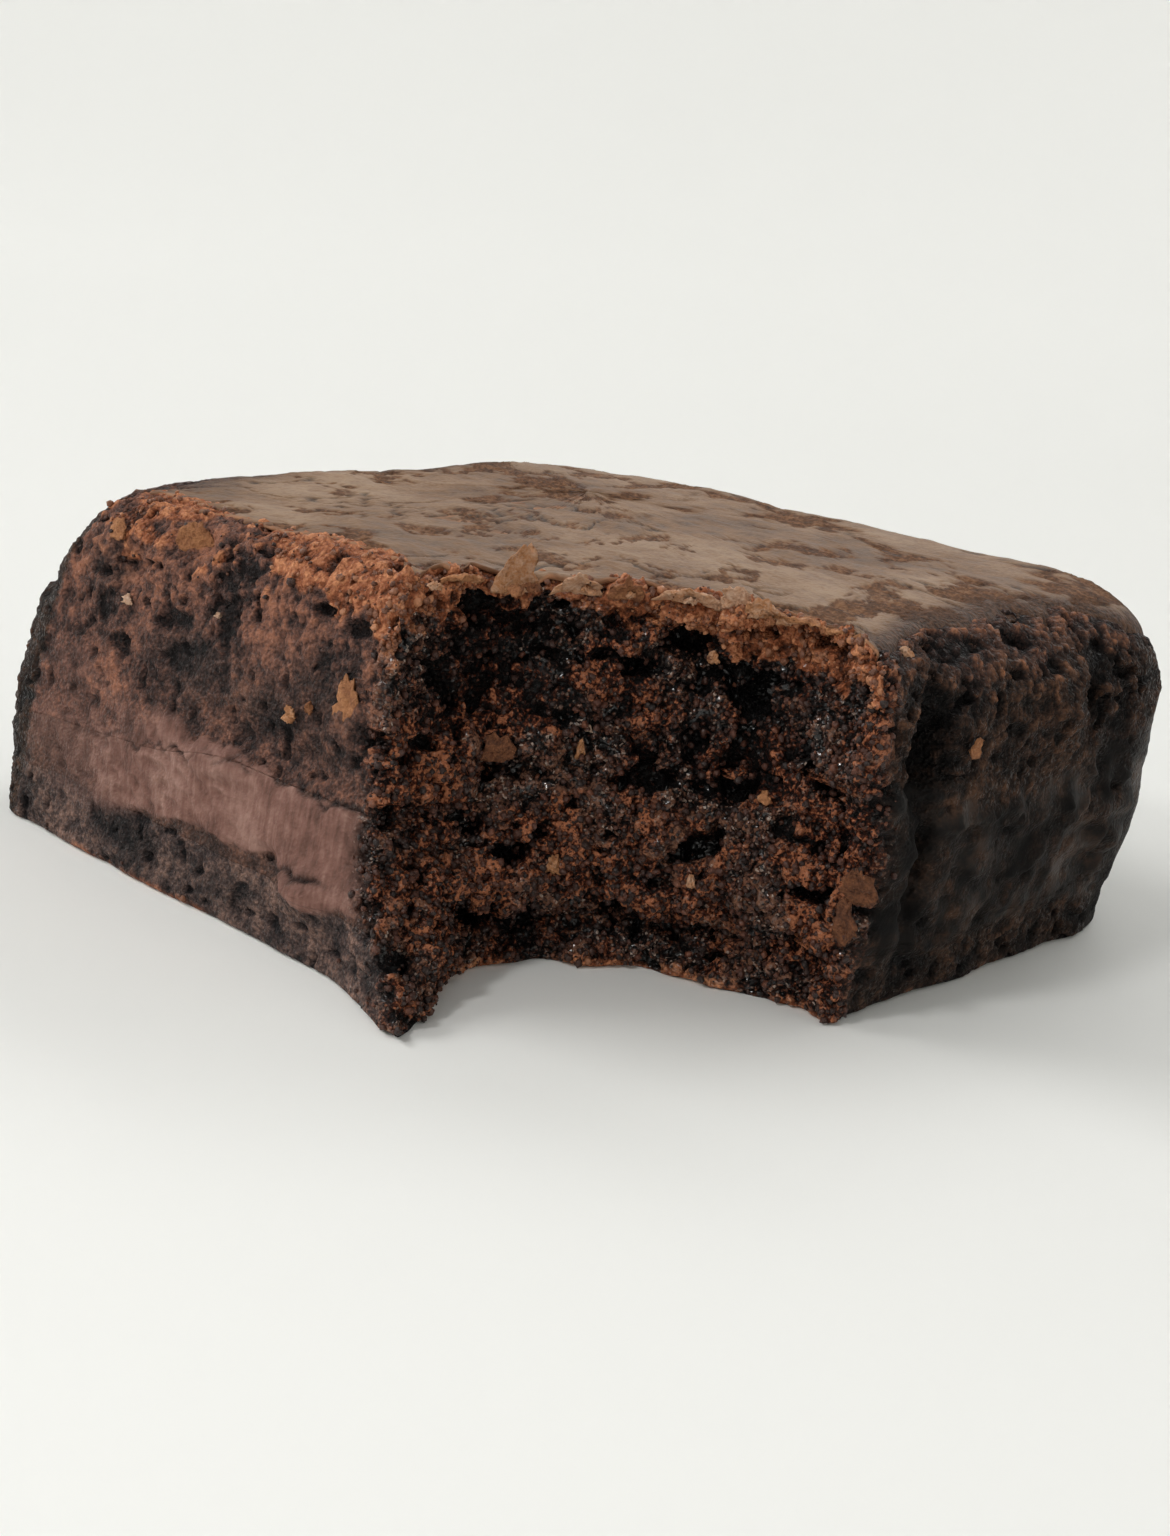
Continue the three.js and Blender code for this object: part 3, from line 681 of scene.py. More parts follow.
def crumb_finish(name, cut_colours):
    """Chocolate crumb, red-brown where it is torn. On all its faces painted shade takes the colour near
    black in pits and hollows, and painted light lifts it on proud grains. Moist zones are blue-black
    with painted glints. The cut face, the baked sides, the smeared fudge and the slick skin have
    their own colours, and the crumb by the crust and at the foot is baked warmer."""
    f = Finish(name)
    stored = ("proud", "torn", "smear", "slick", "warm", "gloom", "baked")
    proud, torn, smear, slick, warm, gloom, baked = (f.point_value(key) for key in stored)
    broad = f.noise(7, 2)
    small = f.noise(1.6, 3)
    fine = f.noise(0.42, 2)
    moist = f.step(f.noise(8.5, 2) + 0.35 * (small - 0.5), 0.46, 0.58)
    # Painted shade and light: the tones below follow proud, so pits and hollows darken and proud grains
    # lighten.
    tone = 0.5 + 0.6 * proud + 1.0 * (broad - 0.5) + 0.9 * (small - 0.5) + 2.4 * (fine - 0.5)
    red_crumb = f.ramp(tone, [
        (0.0, 0.0012, 0.0005, 0.0003),
        (0.30, 0.0054, 0.0016, 0.0009),
        (0.55, 0.0265, 0.0066, 0.0029),
        (0.80, 0.108, 0.0275, 0.0115),
        (1.0, 0.36, 0.130, 0.062),
    ])
    moist_crumb = f.ramp(tone, [
        (0.1, 0.0012, 0.0009, 0.0008),
        (0.45, 0.0050, 0.0031, 0.0025),
        (0.75, 0.023, 0.0120, 0.0082),
        (1.0, 0.115, 0.064, 0.045),
    ])
    torn_colour = f.blend(moist * 0.8, red_crumb, moist_crumb)
    # Painted glints: pale specks laid into the colour on proud grains, most in the moist zones.
    speck = f.step(f.cells(0.26, "Color"), 0.80, 0.86)
    painted_glints = speck * (0.25 + 0.75 * moist) * f.step(proud, -0.5, 0.2)
    torn_colour = f.blend(painted_glints, torn_colour, (0.36, 0.27, 0.22))
    cut_tone = 0.5 + 0.4 * proud + 0.9 * (broad - 0.5) + 0.9 * (small - 0.5) + 0.9 * (fine - 0.5)
    cut_colour = f.ramp(cut_tone - 0.22 * gloom, cut_colours)
    cut_colour = f.blend(gloom * 0.8, cut_colour, f.ramp(cut_tone, gloomy_crumb))
    cut_colour = f.blend(baked * 0.92, cut_colour, f.ramp(cut_tone, baked_crumb))
    streaks = f.noise(0.6, 2, (1, 1, 26))
    smear_tone = 0.46 + 0.45 * proud + 1.0 * (broad - 0.5) + 0.8 * (small - 0.5) + 0.7 * (streaks - 0.5)
    smear_colour = f.ramp(smear_tone, [
        (0.1, 0.080, 0.036, 0.026),
        (0.5, 0.188, 0.093, 0.072),
        (0.9, 0.31, 0.180, 0.145),
    ])
    slick_tone = 0.5 + 0.3 * proud + 1.6 * (broad - 0.5) + 0.9 * (small - 0.5) + 0.3 * (fine - 0.5)
    slick_colour = f.ramp(slick_tone, [
        (0.2, 0.0013, 0.0009, 0.0008),
        (0.5, 0.0046, 0.0027, 0.0018),
        (0.85, 0.032, 0.0150, 0.0078),
    ])
    colour = f.blend(slick, cut_colour, slick_colour)
    colour = f.blend(smear, colour, smear_colour)
    colour = f.blend(torn, colour, torn_colour)
    warm_mask = f.step(warm + 0.6 * (small - 0.5) + 0.35 * proud, 0.3, 0.95)
    warm_tone = small + 0.7 * (fine - 0.5) + 0.25 * proud
    warm_colour = f.ramp(warm_tone, [
        (0.2, 0.058, 0.0175, 0.0078),
        (0.5, 0.300, 0.093, 0.039),
        (0.85, 0.66, 0.280, 0.135),
    ])
    colour = f.blend(warm_mask * 0.88, colour, warm_colour)
    wet = f.step(f.cells(0.33, "Color"), 0.55, 0.75) * (1 - 0.8 * smear) * (1 - slick)
    sheen = slick * (0.10 + 1.1 * (broad - 0.5))
    roughness = 0.76 - 0.4 * wet - 0.18 * smear - sheen + 0.1 * (small - 0.5)
    grit = f.cells(0.42, "Distance")
    height = (fine + 0.6 * grit) * ((1 - 0.75 * smear) * (1 - 0.9 * slick)) + 0.2 * smear * streaks
    film = 0.1 * slick * f.step(broad, 0.4, 0.6)
    coat = {"Coat Weight": wet * torn * (0.1 + 0.9 * moist) + film, "Coat Roughness": 0.16}
    return f.done(colour, roughness, height, 0.5, {"Specular IOR Level": 0.15, **coat})


gloomy_crumb = [
    (0.15, 0.0038, 0.0034, 0.0036),
    (0.5, 0.0175, 0.0138, 0.0132),
    (0.9, 0.070, 0.048, 0.040),
]
baked_crumb = [
    (0.0, 0.0010, 0.0007, 0.0006),
    (0.3, 0.0052, 0.0032, 0.0023),
    (0.6, 0.0200, 0.0108, 0.0066),
    (0.95, 0.080, 0.040, 0.0225),
]
cut_cake = [
    (0.1, 0.0096, 0.0066, 0.0064),
    (0.38, 0.058, 0.031, 0.0255),
    (0.62, 0.152, 0.071, 0.051),
    (0.92, 0.30, 0.128, 0.078),
]
torn_line = 1.1 * soft_noise(rim_x / 4.2, rim_y / 4.2, 51) + 0.5 * soft_noise(rim_x / 1.6, rim_y / 1.6, 53)
raggedness = by_side(1.2, bite=1.1, front=1.6)
crust_start = bend + over_stations(crust_in, 2) + raggedness * torn_line
base_rows = 40
fudge_rows = 60
upper_rows = 104
edge_run = 3.5
base_heights = base_seam_at * np.linspace(0, 1, base_rows)[:, None]
fudge_heights = mix(base_seam_at, fudge_seam_at, np.linspace(0, 1, fudge_rows)[1:, None])
upper_run = mix(fudge_seam_at - wall_top, bend + edge_run, np.linspace(0, 1, upper_rows)[1:, None])
skin_run = np.concatenate([base_heights - wall_top, fudge_heights - wall_top, upper_run])
skin_bare = cake_path(skin_run)
under_crust = ease((skin_run - crust_start - 0.8) / 1.5)
skin, skin_values = textured(skin_bare, 1 - 0.8 * under_crust)
skin -= 0.3 * grid_normals(skin_bare) * under_crust[..., None]
base_part = slice(0, base_rows)
fudge_part = slice(base_rows - 1, base_rows + fudge_rows - 1)
upper_part = slice(base_rows + fudge_rows - 2, None)


reach_in = np.hypot(ring_x - skin_bare[-1, :, 0], ring_y - skin_bare[-1, :, 1])
top_shares = np.array([0.04, 0.12, 0.3, 0.6, 0.8])
top_rings = cake_path(bend + edge_run + reach_in * top_shares[:, None]) - [0, 0, 0.5]
upper_cake = closed_layer(
    "upper_cake",
    upper_part,
    lid(skin[upper_part][0], fudge_seam(ring_x, ring_y) + 0.2, (0.6, 0.2, 0.04), 0.25),
    (top_rings, [ring_x, ring_y, top_height(ring_x, ring_y) - 0.5]),
    crumb_finish("upper_crumb", cut_cake),
)
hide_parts("cake_top")

# Fudge band
# Dense fudge spread on the base before the upper cake was baked on it. The knife has smeared it
# smooth on the cut front. On the baked sides a slick dark skin covers it, and in the bite it is
# torn like the crumb round it.
cut_fudge = [
    (0.1, 0.015, 0.010, 0.009),
    (0.4, 0.055, 0.032, 0.026),
    (0.65, 0.105, 0.055, 0.041),
    (0.92, 0.19, 0.092, 0.062),
]
fudge_band = closed_layer(
    "fudge_band",
    fudge_part,
    lid(skin[fudge_part][0], base_seam(ring_x, ring_y) + 0.2, (0.6, 0.04), 0.25),
    lid(skin[fudge_part][-1], fudge_seam(ring_x, ring_y) - 0.2, (0.04, 0.6), -0.25),
    crumb_finish("fudge_spread", cut_fudge),
)
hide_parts("fudge_filling")

# Base cake
# The thin layer of cake that was baked first. Its cut edge is dark and porous, and its lowest
# millimetre, which lay on the tray, is baked orange-brown.
base_cut = [
    (0.15, 0.0110, 0.0090, 0.0098),
    (0.5, 0.072, 0.047, 0.042),
    (0.9, 0.26, 0.155, 0.120),
]
base_cake = closed_layer(
    "base_cake",
    base_part,
    lid(skin[base_part][0], 0, (0.6, 0.2), 0.0),
    lid(skin[base_part][-1], base_seam(ring_x, ring_y) - 0.2, (0.04, 0.6), -0.25),
    crumb_finish("base_crumb", base_cut),
)
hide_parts("cake_base")

# Crust
# The thin skin that dried on the batter in the oven. It breaks off short of the cut front, hangs
# over the bite as a torn edge, and runs over the shoulder on the baked sides. It is satin smooth
# with fine wrinkles, and small rough patches where the skin has lifted off.
def crust_lift(x, y):
    """The crust's own relief: fine wrinkles, and patches where the skin is missing and lower."""
    wx = x + 0.8 * soft_noise(x / 2.6, y / 2.6, 71)
    wy = y + 0.8 * soft_noise(x / 2.6, y / 2.6, 73)
    wrinkles = 0.10 * soft_noise(wx / 3.5, wy / 1.6, 2) + 0.05 * soft_noise(wx / 0.9, wy / 0.7, 6)
    blotch = soft_noise(wx / 4.6, wy / 4.2, 14) + 0.55 * soft_noise(wx / 1.5, wy / 1.5, 17)
    blotch += 0.3 * soft_noise(x / 0.6, y / 0.6, 18) + 0.4 * soft_noise(x / 15, y / 15, 19)
    far = 0.38 * ease((y + 20) / 45) + 0.5 * ease((x - 30) / 14)
    bare = ease((blotch + far - 0.42) / 0.3)
    crack_line = soft_noise(wx / 8 + 3, wy / 6, 31) + 0.25 * soft_noise(wx / 2, wy / 2, 33)
    cracks = ease((0.06 - np.abs(crack_line)) / 0.04)
    cracks *= ease((soft_noise(x / 12, y / 12, 37) + 0.1) / 0.2)
    rough = 0.2 * soft_noise(x / 0.5, y / 0.5, 23)
    return wrinkles - bare * (0.16 + rough) - 0.25 * cracks, bare, cracks


crust_rows = 84
run = np.linspace(0, 1, crust_rows)[:, None]
flat_start = cake_path(bend[None])[0]
last_reach = np.hypot(ring_x - flat_start[:, 0], ring_y - flat_start[:, 1])
s = mix(crust_start, bend + last_reach * 0.995, 0.22 * run + 0.78 * run**2.1)
crust_bare = cake_path(s)
crust_normal = grid_normals(crust_bare)
from_edge = s - crust_start
lift, bare_patch, crack = crust_lift(crust_bare[..., 0], crust_bare[..., 1])
curl_in_bite = 0.5 + 0.9 * soft_noise(rim_x / 4, rim_y / 4, 61)
curl_in_bite += 0.4 * soft_noise(rim_x / 1.4, rim_y / 1.4, 63)
curl = by_side(0, bite=0.6 * curl_in_bite, front=0.15 * curl_in_bite) * bell(from_edge, 1.6)
torn_edge = on["bite"] | on["front"]
settled = ease(from_edge / np.where(torn_edge, 0.4, 6))
sunk = np.where(torn_edge, 0, 0.8) * (1 - ease(from_edge / 3))
thick = by_side(0.25, bite=0.4, front=0.3)
outer = crust_bare + crust_normal * (lift * settled + 0.1 + 0.02 * settled + curl - sunk)[..., None]
inner = crust_bare + crust_normal * (curl - thick - sunk)[..., None]
edge_middle = (outer[:1] + inner[:1]) / 2
outward = crust_bare[:1] - crust_bare[4:5]
outward /= np.linalg.norm(outward, axis=-1, keepdims=True)
edge_ring = edge_middle + outward * 0.12
rows_kept_below = [crust_rows - 1, 60, 40, 24, 12, 6, 3, 1, 0]
inner_rows = inner[rows_kept_below]
crust_rows_all = np.concatenate([inner_rows, edge_ring, outer])
crust_points = np.concatenate([
    [[ring_x, ring_y, top_height(ring_x, ring_y) - 0.3]],
    crust_rows_all.reshape(-1, 3),
    [[ring_x, ring_y, top_height(ring_x, ring_y) + 0.1]],
])


def over_crust(value):
    """A value of the crust's upper side, for every point of the closed crust."""
    below = np.repeat(value[:1], len(inner_rows) + 1, 0)
    return np.concatenate([[0], below.ravel(), value.ravel(), [0]])


edge_glow = bell(from_edge, by_side(1.6, bite=0.6)) * by_side(0.2, bite=0.75, front=0.7)
below_edge = np.where(torn_edge, 0, ease(1 - from_edge / 9))

f = Finish("crust_skin")
stored = ("bare", "edge", "side", "crack")
bare_share, edge_share, side_share, crack_share = (f.point_value(key) for key in stored)
broad = f.noise(16, 3)
small = f.noise(2.2, 4)
fine = f.noise(0.5, 2)
tone = 0.5 + 1.3 * (broad - 0.5) + 0.8 * (small - 0.5) + 0.4 * (fine - 0.5)
skin_colour = f.ramp(tone, [
    (0.15, 0.088, 0.041, 0.0195),
    (0.5, 0.205, 0.111, 0.056),
    (0.85, 0.335, 0.220, 0.138),
])
bare_colour = f.ramp(0.6 * small + 0.6 * fine, [
    (0.4, 0.036, 0.0155, 0.0085),
    (0.6, 0.122, 0.054, 0.0255),
    (0.8, 0.29, 0.145, 0.073),
])
colour = f.blend(f.step(bare_share + 0.5 * (fine - 0.5), 0.2, 0.7) * 0.9, skin_colour, bare_colour)
colour = f.blend(crack_share * 0.85, colour, (0.03, 0.016, 0.010))
side_colour = f.ramp(fine, [(0.3, 0.022, 0.0105, 0.0062), (0.7, 0.130, 0.062, 0.033)])
side_mask = f.step(side_share + 1.1 * (small - 0.5) + 0.6 * (fine - 0.5), 0.1, 0.7)
colour = f.blend(side_mask, colour, side_colour)
edge_colour = f.ramp(small, [(0.3, 0.14, 0.060, 0.028), (0.7, 0.38, 0.18, 0.088)])
colour = f.blend(f.step(edge_share + 0.4 * (small - 0.5), 0.3, 0.85), colour, edge_colour)
roughness = 0.56 + 0.3 * bare_share + 0.3 * (small - 0.5) + 0.15 * edge_share + 0.1 * side_share
height = fine * (0.5 + bare_share + 1.5 * side_mask) + small
crust_finish = f.done(colour, roughness, height, 0.22, {"Specular IOR Level": 0.3})
crust_values = {
    "bare": over_crust(bare_patch * settled),
    "edge": over_crust(edge_glow),
    "side": over_crust(below_edge),
    "crack": over_crust(crack * settled),
}
crust_faces = ring_faces(len(crust_rows_all), len(side_of))
new_piece("crust", crust_points, crust_faces, crust_finish, crust_values)

# Crumbs
# Loose clods and grains of cake that the bite has left on the torn face and along its rim, and
# the knife on the front's upper edge. Their own moisture sticks them on. Each is a small lumpy
# ball, made from the twelve corners and twenty faces of an icosahedron.
golden = (1 + 5**0.5) / 2
corners = [np.roll([a, b * golden, 0], turns) for turns, b, a in product(range(3), (1, -1), (-1, 1))]
corners = np.array(corners) / np.hypot(1, golden)
# A face joins three corners that all touch, turned so that it looks outwards.
touching = np.linalg.norm(corners[:, None] - corners, axis=-1) < 1.1
ball_faces = np.array([
    three if np.linalg.det(corners[list(three)]) > 0 else three[::-1]
    for three in combinations(range(12), 3)
    if all(touching[pair] for pair in combinations(three, 2))
])
seeded = np.random.default_rng(7)


def turned(count):
    """Random rotations from unit quaternions, of part w and vector v: (2 w squared - 1) times no
    turn at all, plus twice v times v, plus 2 w times the cross product with v."""
    q = seeded.normal(size=(count, 4))
    q /= np.linalg.norm(q, axis=1, keepdims=True)
    w, v = q[:, :1, None], q[:, 1:]
    no_turn = np.eye(3)
    return (2 * w * w - 1) * no_turn + 2 * v[:, :, None] * v[:, None] + 2 * w * np.cross(no_turn, v[:, None])


def scattered(places, sizes):
    """A crumb at each place: a ball of twenty faces with its corners pulled in and out at random,
    stretched, turned and scaled to its size."""
    count = len(places)
    dents = seeded.uniform(0.72, 1.2, (count, len(corners), 1))
    stretch = seeded.uniform(0.65, 1.2, (count, 1, 3))
    balls = np.einsum("nij,nkj->nki", turned(count), corners * dents * stretch)
    return places[:, None] + balls * sizes[:, None, None] / 2


skin_normals = grid_normals(skin)
chance = skin_values["torn"] * (0.25 + np.clip(skin_values["proud"], 0, 1))
chance += 0.4 * on["front"] * skin_values["crumble"] * skin_values["warm"]
rows_under_crust = 16
rows_at_foot = 3
chance[-rows_under_crust:] *= by_side(0, bite=0.3, front=0.3)
chance[:rows_at_foot] = 0
column_width = np.linalg.norm(np.roll(skin, -1, 1) - skin, axis=-1)
chance = (chance * column_width).ravel()
crumb_count = 7000
chosen = seeded.choice(chance.size, crumb_count, p=chance / chance.sum())
crumb_sizes = 0.28 + 0.75 * seeded.random(crumb_count) ** 2.6
places = skin.reshape(-1, 3)[chosen] + skin_normals.reshape(-1, 3)[chosen] * (0.12 * crumb_sizes)[:, None]
places[:, 2] = np.maximum(places[:, 2], 0.6 * crumb_sizes)
crumb_points = scattered(places, crumb_sizes)
crumb_faces = (np.arange(crumb_count)[:, None, None] * len(corners) + ball_faces).reshape(-1, 3)
crumb_warm = np.repeat(skin_values["warm"].ravel()[chosen], len(corners))
crumb_tint = np.repeat(seeded.random(crumb_count), len(corners))

f = Finish("loose_crumb")
tint = f.point_value("tint")
warm = f.point_value("warm")
small = f.noise(0.8, 2)
fine = f.noise(0.25, 2)
colour = f.ramp(0.75 * tint + 0.5 * (small - 0.5) + 0.1, [
    (0.0, 0.0090, 0.0033, 0.0020),
    (0.4, 0.028, 0.0086, 0.0042),
    (0.75, 0.080, 0.0235, 0.0108),
    (1.0, 0.25, 0.088, 0.042),
])
warm_colour = f.ramp(tint, [
    (0.0, 0.095, 0.034, 0.017),
    (0.6, 0.20, 0.074, 0.034),
    (1.0, 0.44, 0.185, 0.085),
])
colour = f.blend(f.step(warm + 0.3 * (tint - 0.5), 0.3, 0.9), colour, warm_colour)
glint = f.step(f.cells(0.3, "Color"), 0.6, 0.8)
crumb_material = f.done(colour, 0.62 - 0.3 * glint, fine + 0.5 * f.cells(0.3, "Distance"), 0.15)
new_piece(
    "loose_crumbs",
    crumb_points.reshape(-1, 3),
    crumb_faces.tolist(),
    crumb_material,
    {"tint": crumb_tint, "warm": crumb_warm},
)

# Crust flakes
# Broken bits of dry crust. Larger leaves stand or lie along the rim of the bite, and chips cling to
# the cut face, the torn face and the baked side. The palest chip on the torn face is a painted glint.
flake_rows = 11
flake_columns = 13


def flake_sheets(table):
    """Curled leaves. Each is a square grid drawn in to a rounded shape, whose outline goes in and
    out with the direction from its middle. It is bent about its long axis and closed by a copy a
    little behind it.

    A row is the leaf's root, its length and height, the lean from upright, the turn about the
    vertical, the curl, and a number that picks its outline."""
    u, w = np.meshgrid(np.linspace(-1, 1, flake_columns), np.linspace(-1, 1, flake_rows))
    reach = np.maximum(np.abs(u), np.abs(w))
    length = np.maximum(np.hypot(u, w), 1e-6)
    rounded = mix(1, reach / length, 0.7)
    du, dw = u / length, w / length
    sheets = []
    for x, y, z, long, high, lean, turn, curl, pick in table:
        jags = 1 + 0.3 * soft_noise(1.5 * du, 1.5 * dw, pick)
        jags += 0.22 * soft_noise(4.5 * du, 4.5 * dw, pick + 5)
        a = u * rounded * jags * (1 - 0.25 * (w + 1)) * long / 1.6
        h = (w * rounded * jags + 0.8) * high / 1.8
        bow = curl * (0.4 * u * u + 0.3 * (w + 1) ** 2 / 2) * high * 0.5
        bow += 0.3 * soft_noise(u * 2, w * 2, pick + 7) + 0.16 * soft_noise(u * 5, w * 5, pick + 9)
        thick = 0.20 * (1 - reach**4) + 0.05
        t, r = np.radians(lean), np.radians(turn)
        tip = np.array([[1, 0, 0], [0, np.cos(t), -np.sin(t)], [0, np.sin(t), np.cos(t)]])
        spin = np.array([[np.cos(r), -np.sin(r), 0], [np.sin(r), np.cos(r), 0], [0, 0, 1]])
        both = np.stack([np.stack([a, -bow - thick, h], -1), np.stack([a, -bow + thick, h], -1)])
        sheets.append(both @ (spin @ tip).T + [x, y, z])
    return np.array(sheets)


def flake_face_list():
    """Faces of one leaf: its outer grid, its inner grid turned round, and a strip round the edge."""
    size = flake_rows * flake_columns
    row, column = np.meshgrid(np.arange(flake_rows - 1), np.arange(flake_columns - 1), indexing="ij")
    a = (row * flake_columns + column).ravel()
    outer_quads = np.stack([a, a + 1, a + 1 + flake_columns, a + flake_columns], -1)
    inner_quads = outer_quads[:, ::-1] + size
    index = np.arange(size).reshape(flake_rows, flake_columns)
    loop = np.concatenate([index[0, :-1], index[:-1, -1], index[-1, :0:-1], index[:0:-1, 0]])
    following = np.roll(loop, -1)
    strip = np.stack([loop, loop + size, following + size, following], -1)
    return np.concatenate([outer_quads, inner_quads, strip])


def on_top(angle, back):
    """A point on the top, at this angle round the bite, set back from its rim by this much."""
    bite_x, bite_y, bite_r = bite_circle(slab_height)
    x = bite_x + (bite_r + back) * np.cos(np.radians(angle))
    y = bite_y + (bite_r + back) * np.sin(np.radians(angle))
    return x, y, top_height(x, y)


# Along the rim: angle round the bite, set back, length, height, lean, and tint from dark to pale.
rim_leaves = (
    (165, 1.6, 4.6, 2.8, 58, 0.50),
    (155, 1.4, 3.8, 5.0, 14, 0.60),
    (144.5, 1.0, 4.6, 3.4, 40, 0.66),
    (136, 0.2, 3.2, 2.6, 30, 0.30),
    (125, 1.4, 7.0, 3.4, 50, 0.66),
    (117, 0.8, 3.4, 3.2, 20, 0.72),
    (111, 0.4, 4.6, 3.0, 36, 0.60),
    (105, 1.8, 5.4, 2.8, 60, 0.50),
    (98, 0.6, 3.0, 1.8, 54, 0.46),
)
# On the faces: the middle, length, height and tint.
face_chips = (
    (8.4, -46.2, 27.7, 3.8, 5.0, 0.42),
    (-21.9, -43.1, 37.7, 4.4, 3.6, 0.36),
    (-33.0, -45.2, 36.3, 3.0, 2.2, 0.40),
    (-28.9, -46.5, 29.5, 1.5, 1.1, 0.85),
    (-13.1, -46.3, 31.5, 0.7, 0.6, 0.85),
    (0.8, -47.3, 24.8, 1.7, 1.7, 0.50),
    (3.3, -47.0, 26.0, 1.0, 1.2, 0.30),
    (51.4, -1.8, 28.9, 1.9, 2.2, 0.36),
    (49.5, -14.8, 16.8, 3.8, 4.6, 0.08),
    (49.0, -14.7, 11.6, 3.0, 4.4, 0.05),
    (19.1, -24.4, 23.1, 0.9, 1.8, 0.55),
    (32.1, -19.3, 11.5, 0.9, 1.3, 0.66),
    (15.4, -32.3, 23.4, 3.4, 2.8, 0.10),
    (36.7, -14.7, 21.3, 1.5, 1.4, 0.45),
    (20.2, -27.0, 11.0, 1.7, 1.9, 0.50),
    (28.1, -14.4, 34.0, 1.6, 1.5, 0.60),
    # Painted glint: this palest chip on the torn face stands in for a small highlight.
    (18.5, -23.1, 25.3, 0.8, 0.7, 1.00),
)
leaf_table = []
leaf_tints = []
for angle, set_back, long, high, lean, tint in rim_leaves:
    x, y, z = on_top(angle, set_back)
    leaf_table.append([x, y, z - 0.6, long, high, lean, angle - 90, 0.5, angle])
    leaf_tints.append(tint)
smooth_normals = grid_normals(skin_bare).reshape(-1, 3)
skin_points = skin.reshape(-1, 3)
for x, y, z, long, high, tint in face_chips:
    nearest = ((skin_points - [x, y, z]) ** 2).sum(-1).argmin()
    nx, ny, nz = smooth_normals[nearest]
    x, y, z = skin_points[nearest] + 0.5 * smooth_normals[nearest] - [0, 0, high / 2]
    turn = np.degrees(np.arctan2(nx, -ny))
    leaf_table.append([x, y, z, long, high, 8 - np.degrees(np.arcsin(nz)), turn, 0.15, x + z])
    leaf_tints.append(tint)
small_bits = 16
for number in range(small_bits):
    angle = seeded.uniform(82, 174)
    x, y, z = on_top(angle, seeded.uniform(-0.8, 2.2))
    long = seeded.uniform(0.7, 1.9)
    high = seeded.uniform(0.6, 1.5)
    lean = seeded.uniform(20, 120)
    turn = angle - 90 + seeded.uniform(-60, 60)
    leaf_table.append([x, y, z - 0.3, long, high, lean, turn, 0.3, number])
    leaf_tints.append(seeded.uniform(0.2, 0.75))
flake_points = flake_sheets(leaf_table).reshape(-1, 3)
per_flake = 2 * flake_rows * flake_columns
flake_faces = np.arange(len(leaf_table))[:, None, None] * per_flake + flake_face_list()

f = Finish("dry_flake")
tint = f.point_value("tint")
small = f.noise(1.1, 3)
fine = f.noise(0.3, 2)
colour = f.ramp(tint + 0.06 + 0.55 * (small - 0.5) + 0.45 * (fine - 0.5), [
    (0.0, 0.065, 0.024, 0.012),
    (0.3, 0.210, 0.080, 0.035),
    (0.6, 0.42, 0.190, 0.083),
    (1.0, 0.66, 0.46, 0.34),
])
pits = f.cells(0.5, "Distance")
height = fine + small + 0.6 * pits
flake_finish = f.done(colour, 0.74 + 0.2 * (small - 0.5), height, 0.3, {"Specular IOR Level": 0.25})
new_piece(
    "crust_flakes",
    flake_points,
    flake_faces.reshape(-1, 4).tolist(),
    flake_finish,
    {"tint": np.repeat(leaf_tints, per_flake)},
)

# Stage
# A pale floor that curves up far behind the brownie, with soft studio light and the camera.
floor_rings = 52
floor_columns = 96
radius = np.linspace(0, 2.6, floor_rings + 1)[1:, None]
turn = np.linspace(0, 2 * np.pi, floor_columns + 1)[:-1]
rise = 0.55 * np.maximum(radius - 0.75, 0) ** 2 + 0 * turn
floor_spread = np.stack([radius * np.cos(turn), radius * np.sin(turn), rise], -1)
floor_points = np.concatenate([[[0, 0, 0]], floor_spread.reshape(-1, 3)])
row, column = np.meshgrid(np.arange(floor_rings - 1), np.arange(floor_columns), indexing="ij")
a = 1 + row * floor_columns + column
b = 1 + row * floor_columns + (column + 1) % floor_columns
floor_quads = np.stack([a, a + floor_columns, b + floor_columns, b], -1).reshape(-1, 4).tolist()
hub = [[0, 1 + c, 1 + (c + 1) % floor_columns] for c in range(floor_columns)]
f = Finish("floor_paper")
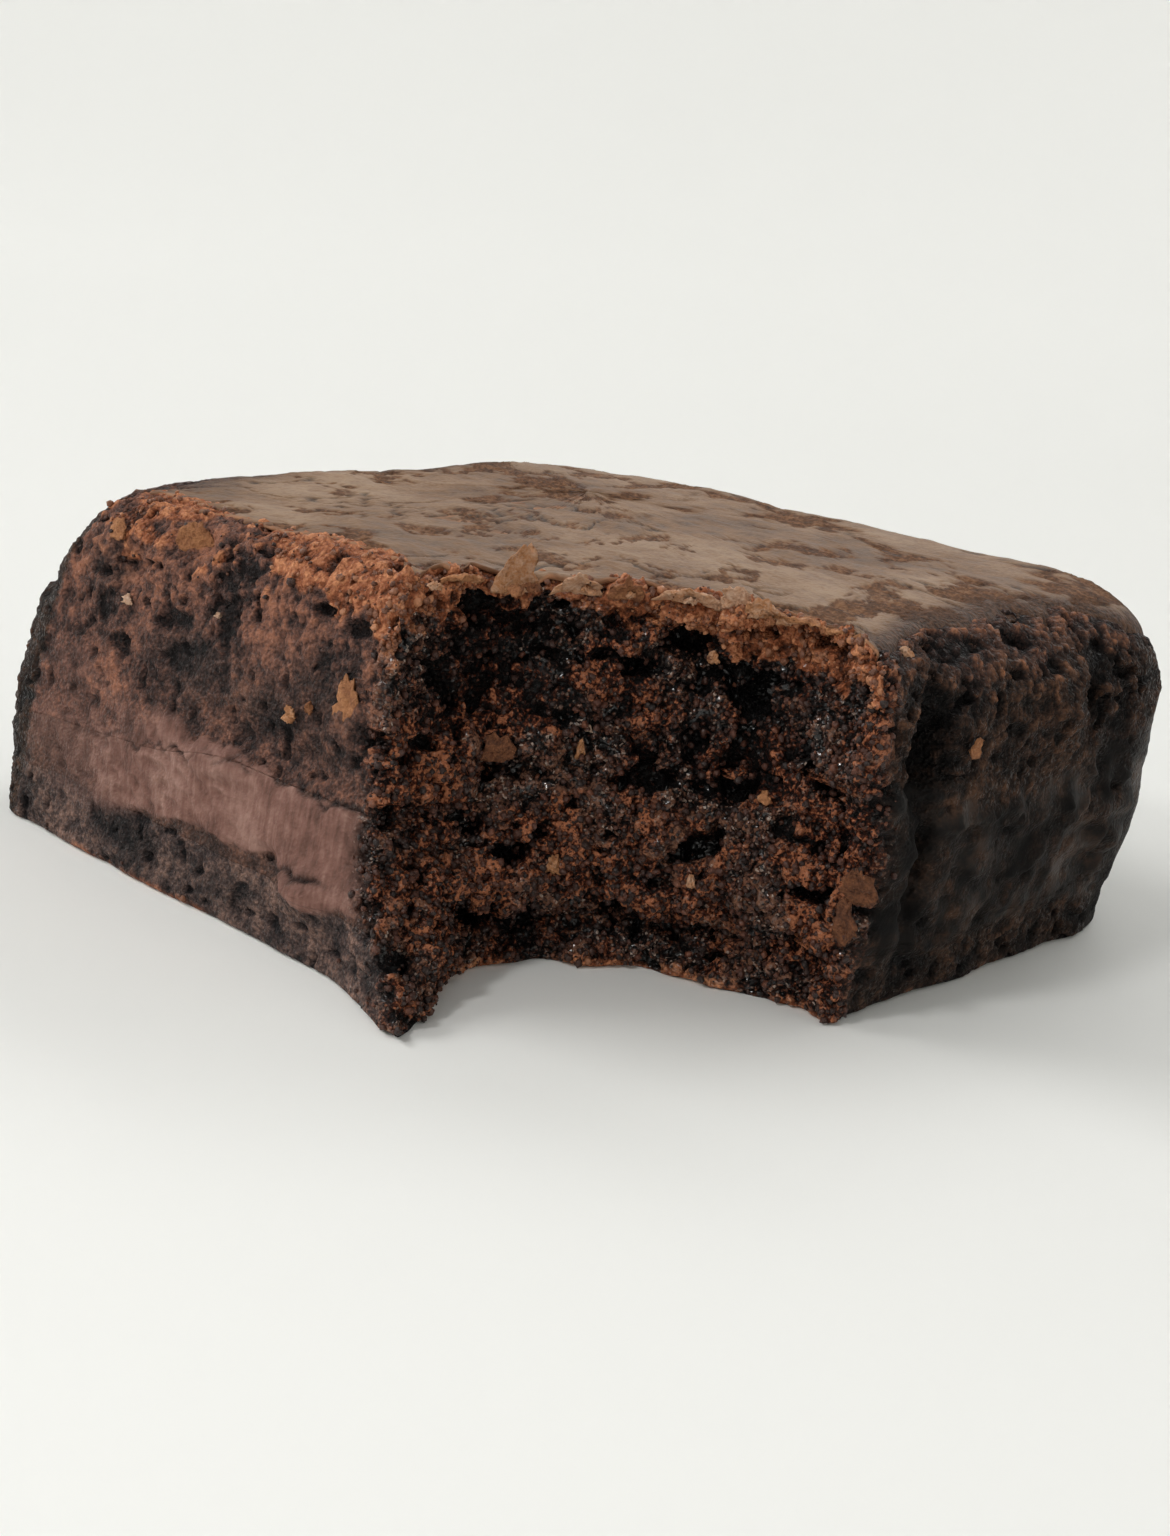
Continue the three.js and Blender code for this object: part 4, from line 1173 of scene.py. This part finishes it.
paper = f.blend(f.noise(400, 1), (0.87, 0.87, 0.84), (0.90, 0.90, 0.87))
floor_finish = f.done(paper, 0.9, f.noise(3, 1), 0.005)
floor = placed("floor", smooth_mesh("floor", floor_points, floor_quads + hub, floor_finish))

world = bpy.data.worlds.new("studio")
bpy.context.scene.world = world
world.use_nodes = True
sky = world.node_tree.nodes["Background"].inputs
sky["Color"].default_value = (1.0, 1.0, 0.985, 1)
sky["Strength"].default_value = 0.36


def facing(position, target, roll=0.0):
    """The matrix of a lamp or camera at position that looks along its own -Z at the target, with
    its upper side turned by roll."""
    position = np.array(position, float)
    back = position - np.array(target, float)
    back /= np.linalg.norm(back)
    right = np.cross([0, 0, 1], back)
    right /= np.linalg.norm(right)
    up = np.cross(back, right)
    cos, sin = np.cos(roll), np.sin(roll)
    m = np.eye(4)
    m[:3, 0] = right * cos + up * sin
    m[:3, 1] = -right * sin + up * cos
    m[:3, 2] = back
    m[:3, 3] = position
    return Matrix(m)


for name, position, width, height, power in (
    ("key_light", (-2.2, -1.2, 1.7), 1.6, 1.6, 66),
    ("back_light", (-0.5, 2.4, 1.8), 2.6, 1.2, 42),
    ("glint_light", (-0.02, -0.45, 0.42), 0.07, 0.07, 0.8),
):
    light = bpy.data.lights.new(name, "AREA")
    light.shape = "RECTANGLE"
    light.size = width
    light.size_y = height
    light.energy = power
    placed(name, light).matrix_world = facing(position, (0, 0, 0.02))

azimuth, elevation, roll = np.radians([42.177, 17.189, 6.044])
back = np.array([
    np.sin(azimuth) * np.cos(elevation),
    -np.cos(azimuth) * np.cos(elevation),
    np.sin(elevation),
])
aim = np.array([15.958, -19.587, 19.0]) - outline_middle
distance = 244.167
eye = (aim + back * distance) * millimetre
lens = bpy.data.cameras.new("camera")
lens.lens = 53.906
lens.sensor_width = 36
lens.clip_start = 0.01
lens.clip_end = 20
camera = placed("camera", lens)
camera.matrix_world = facing(eye, aim * millimetre, roll)
bpy.context.scene.camera = camera
bpy.context.scene.view_settings.view_transform = "Standard"
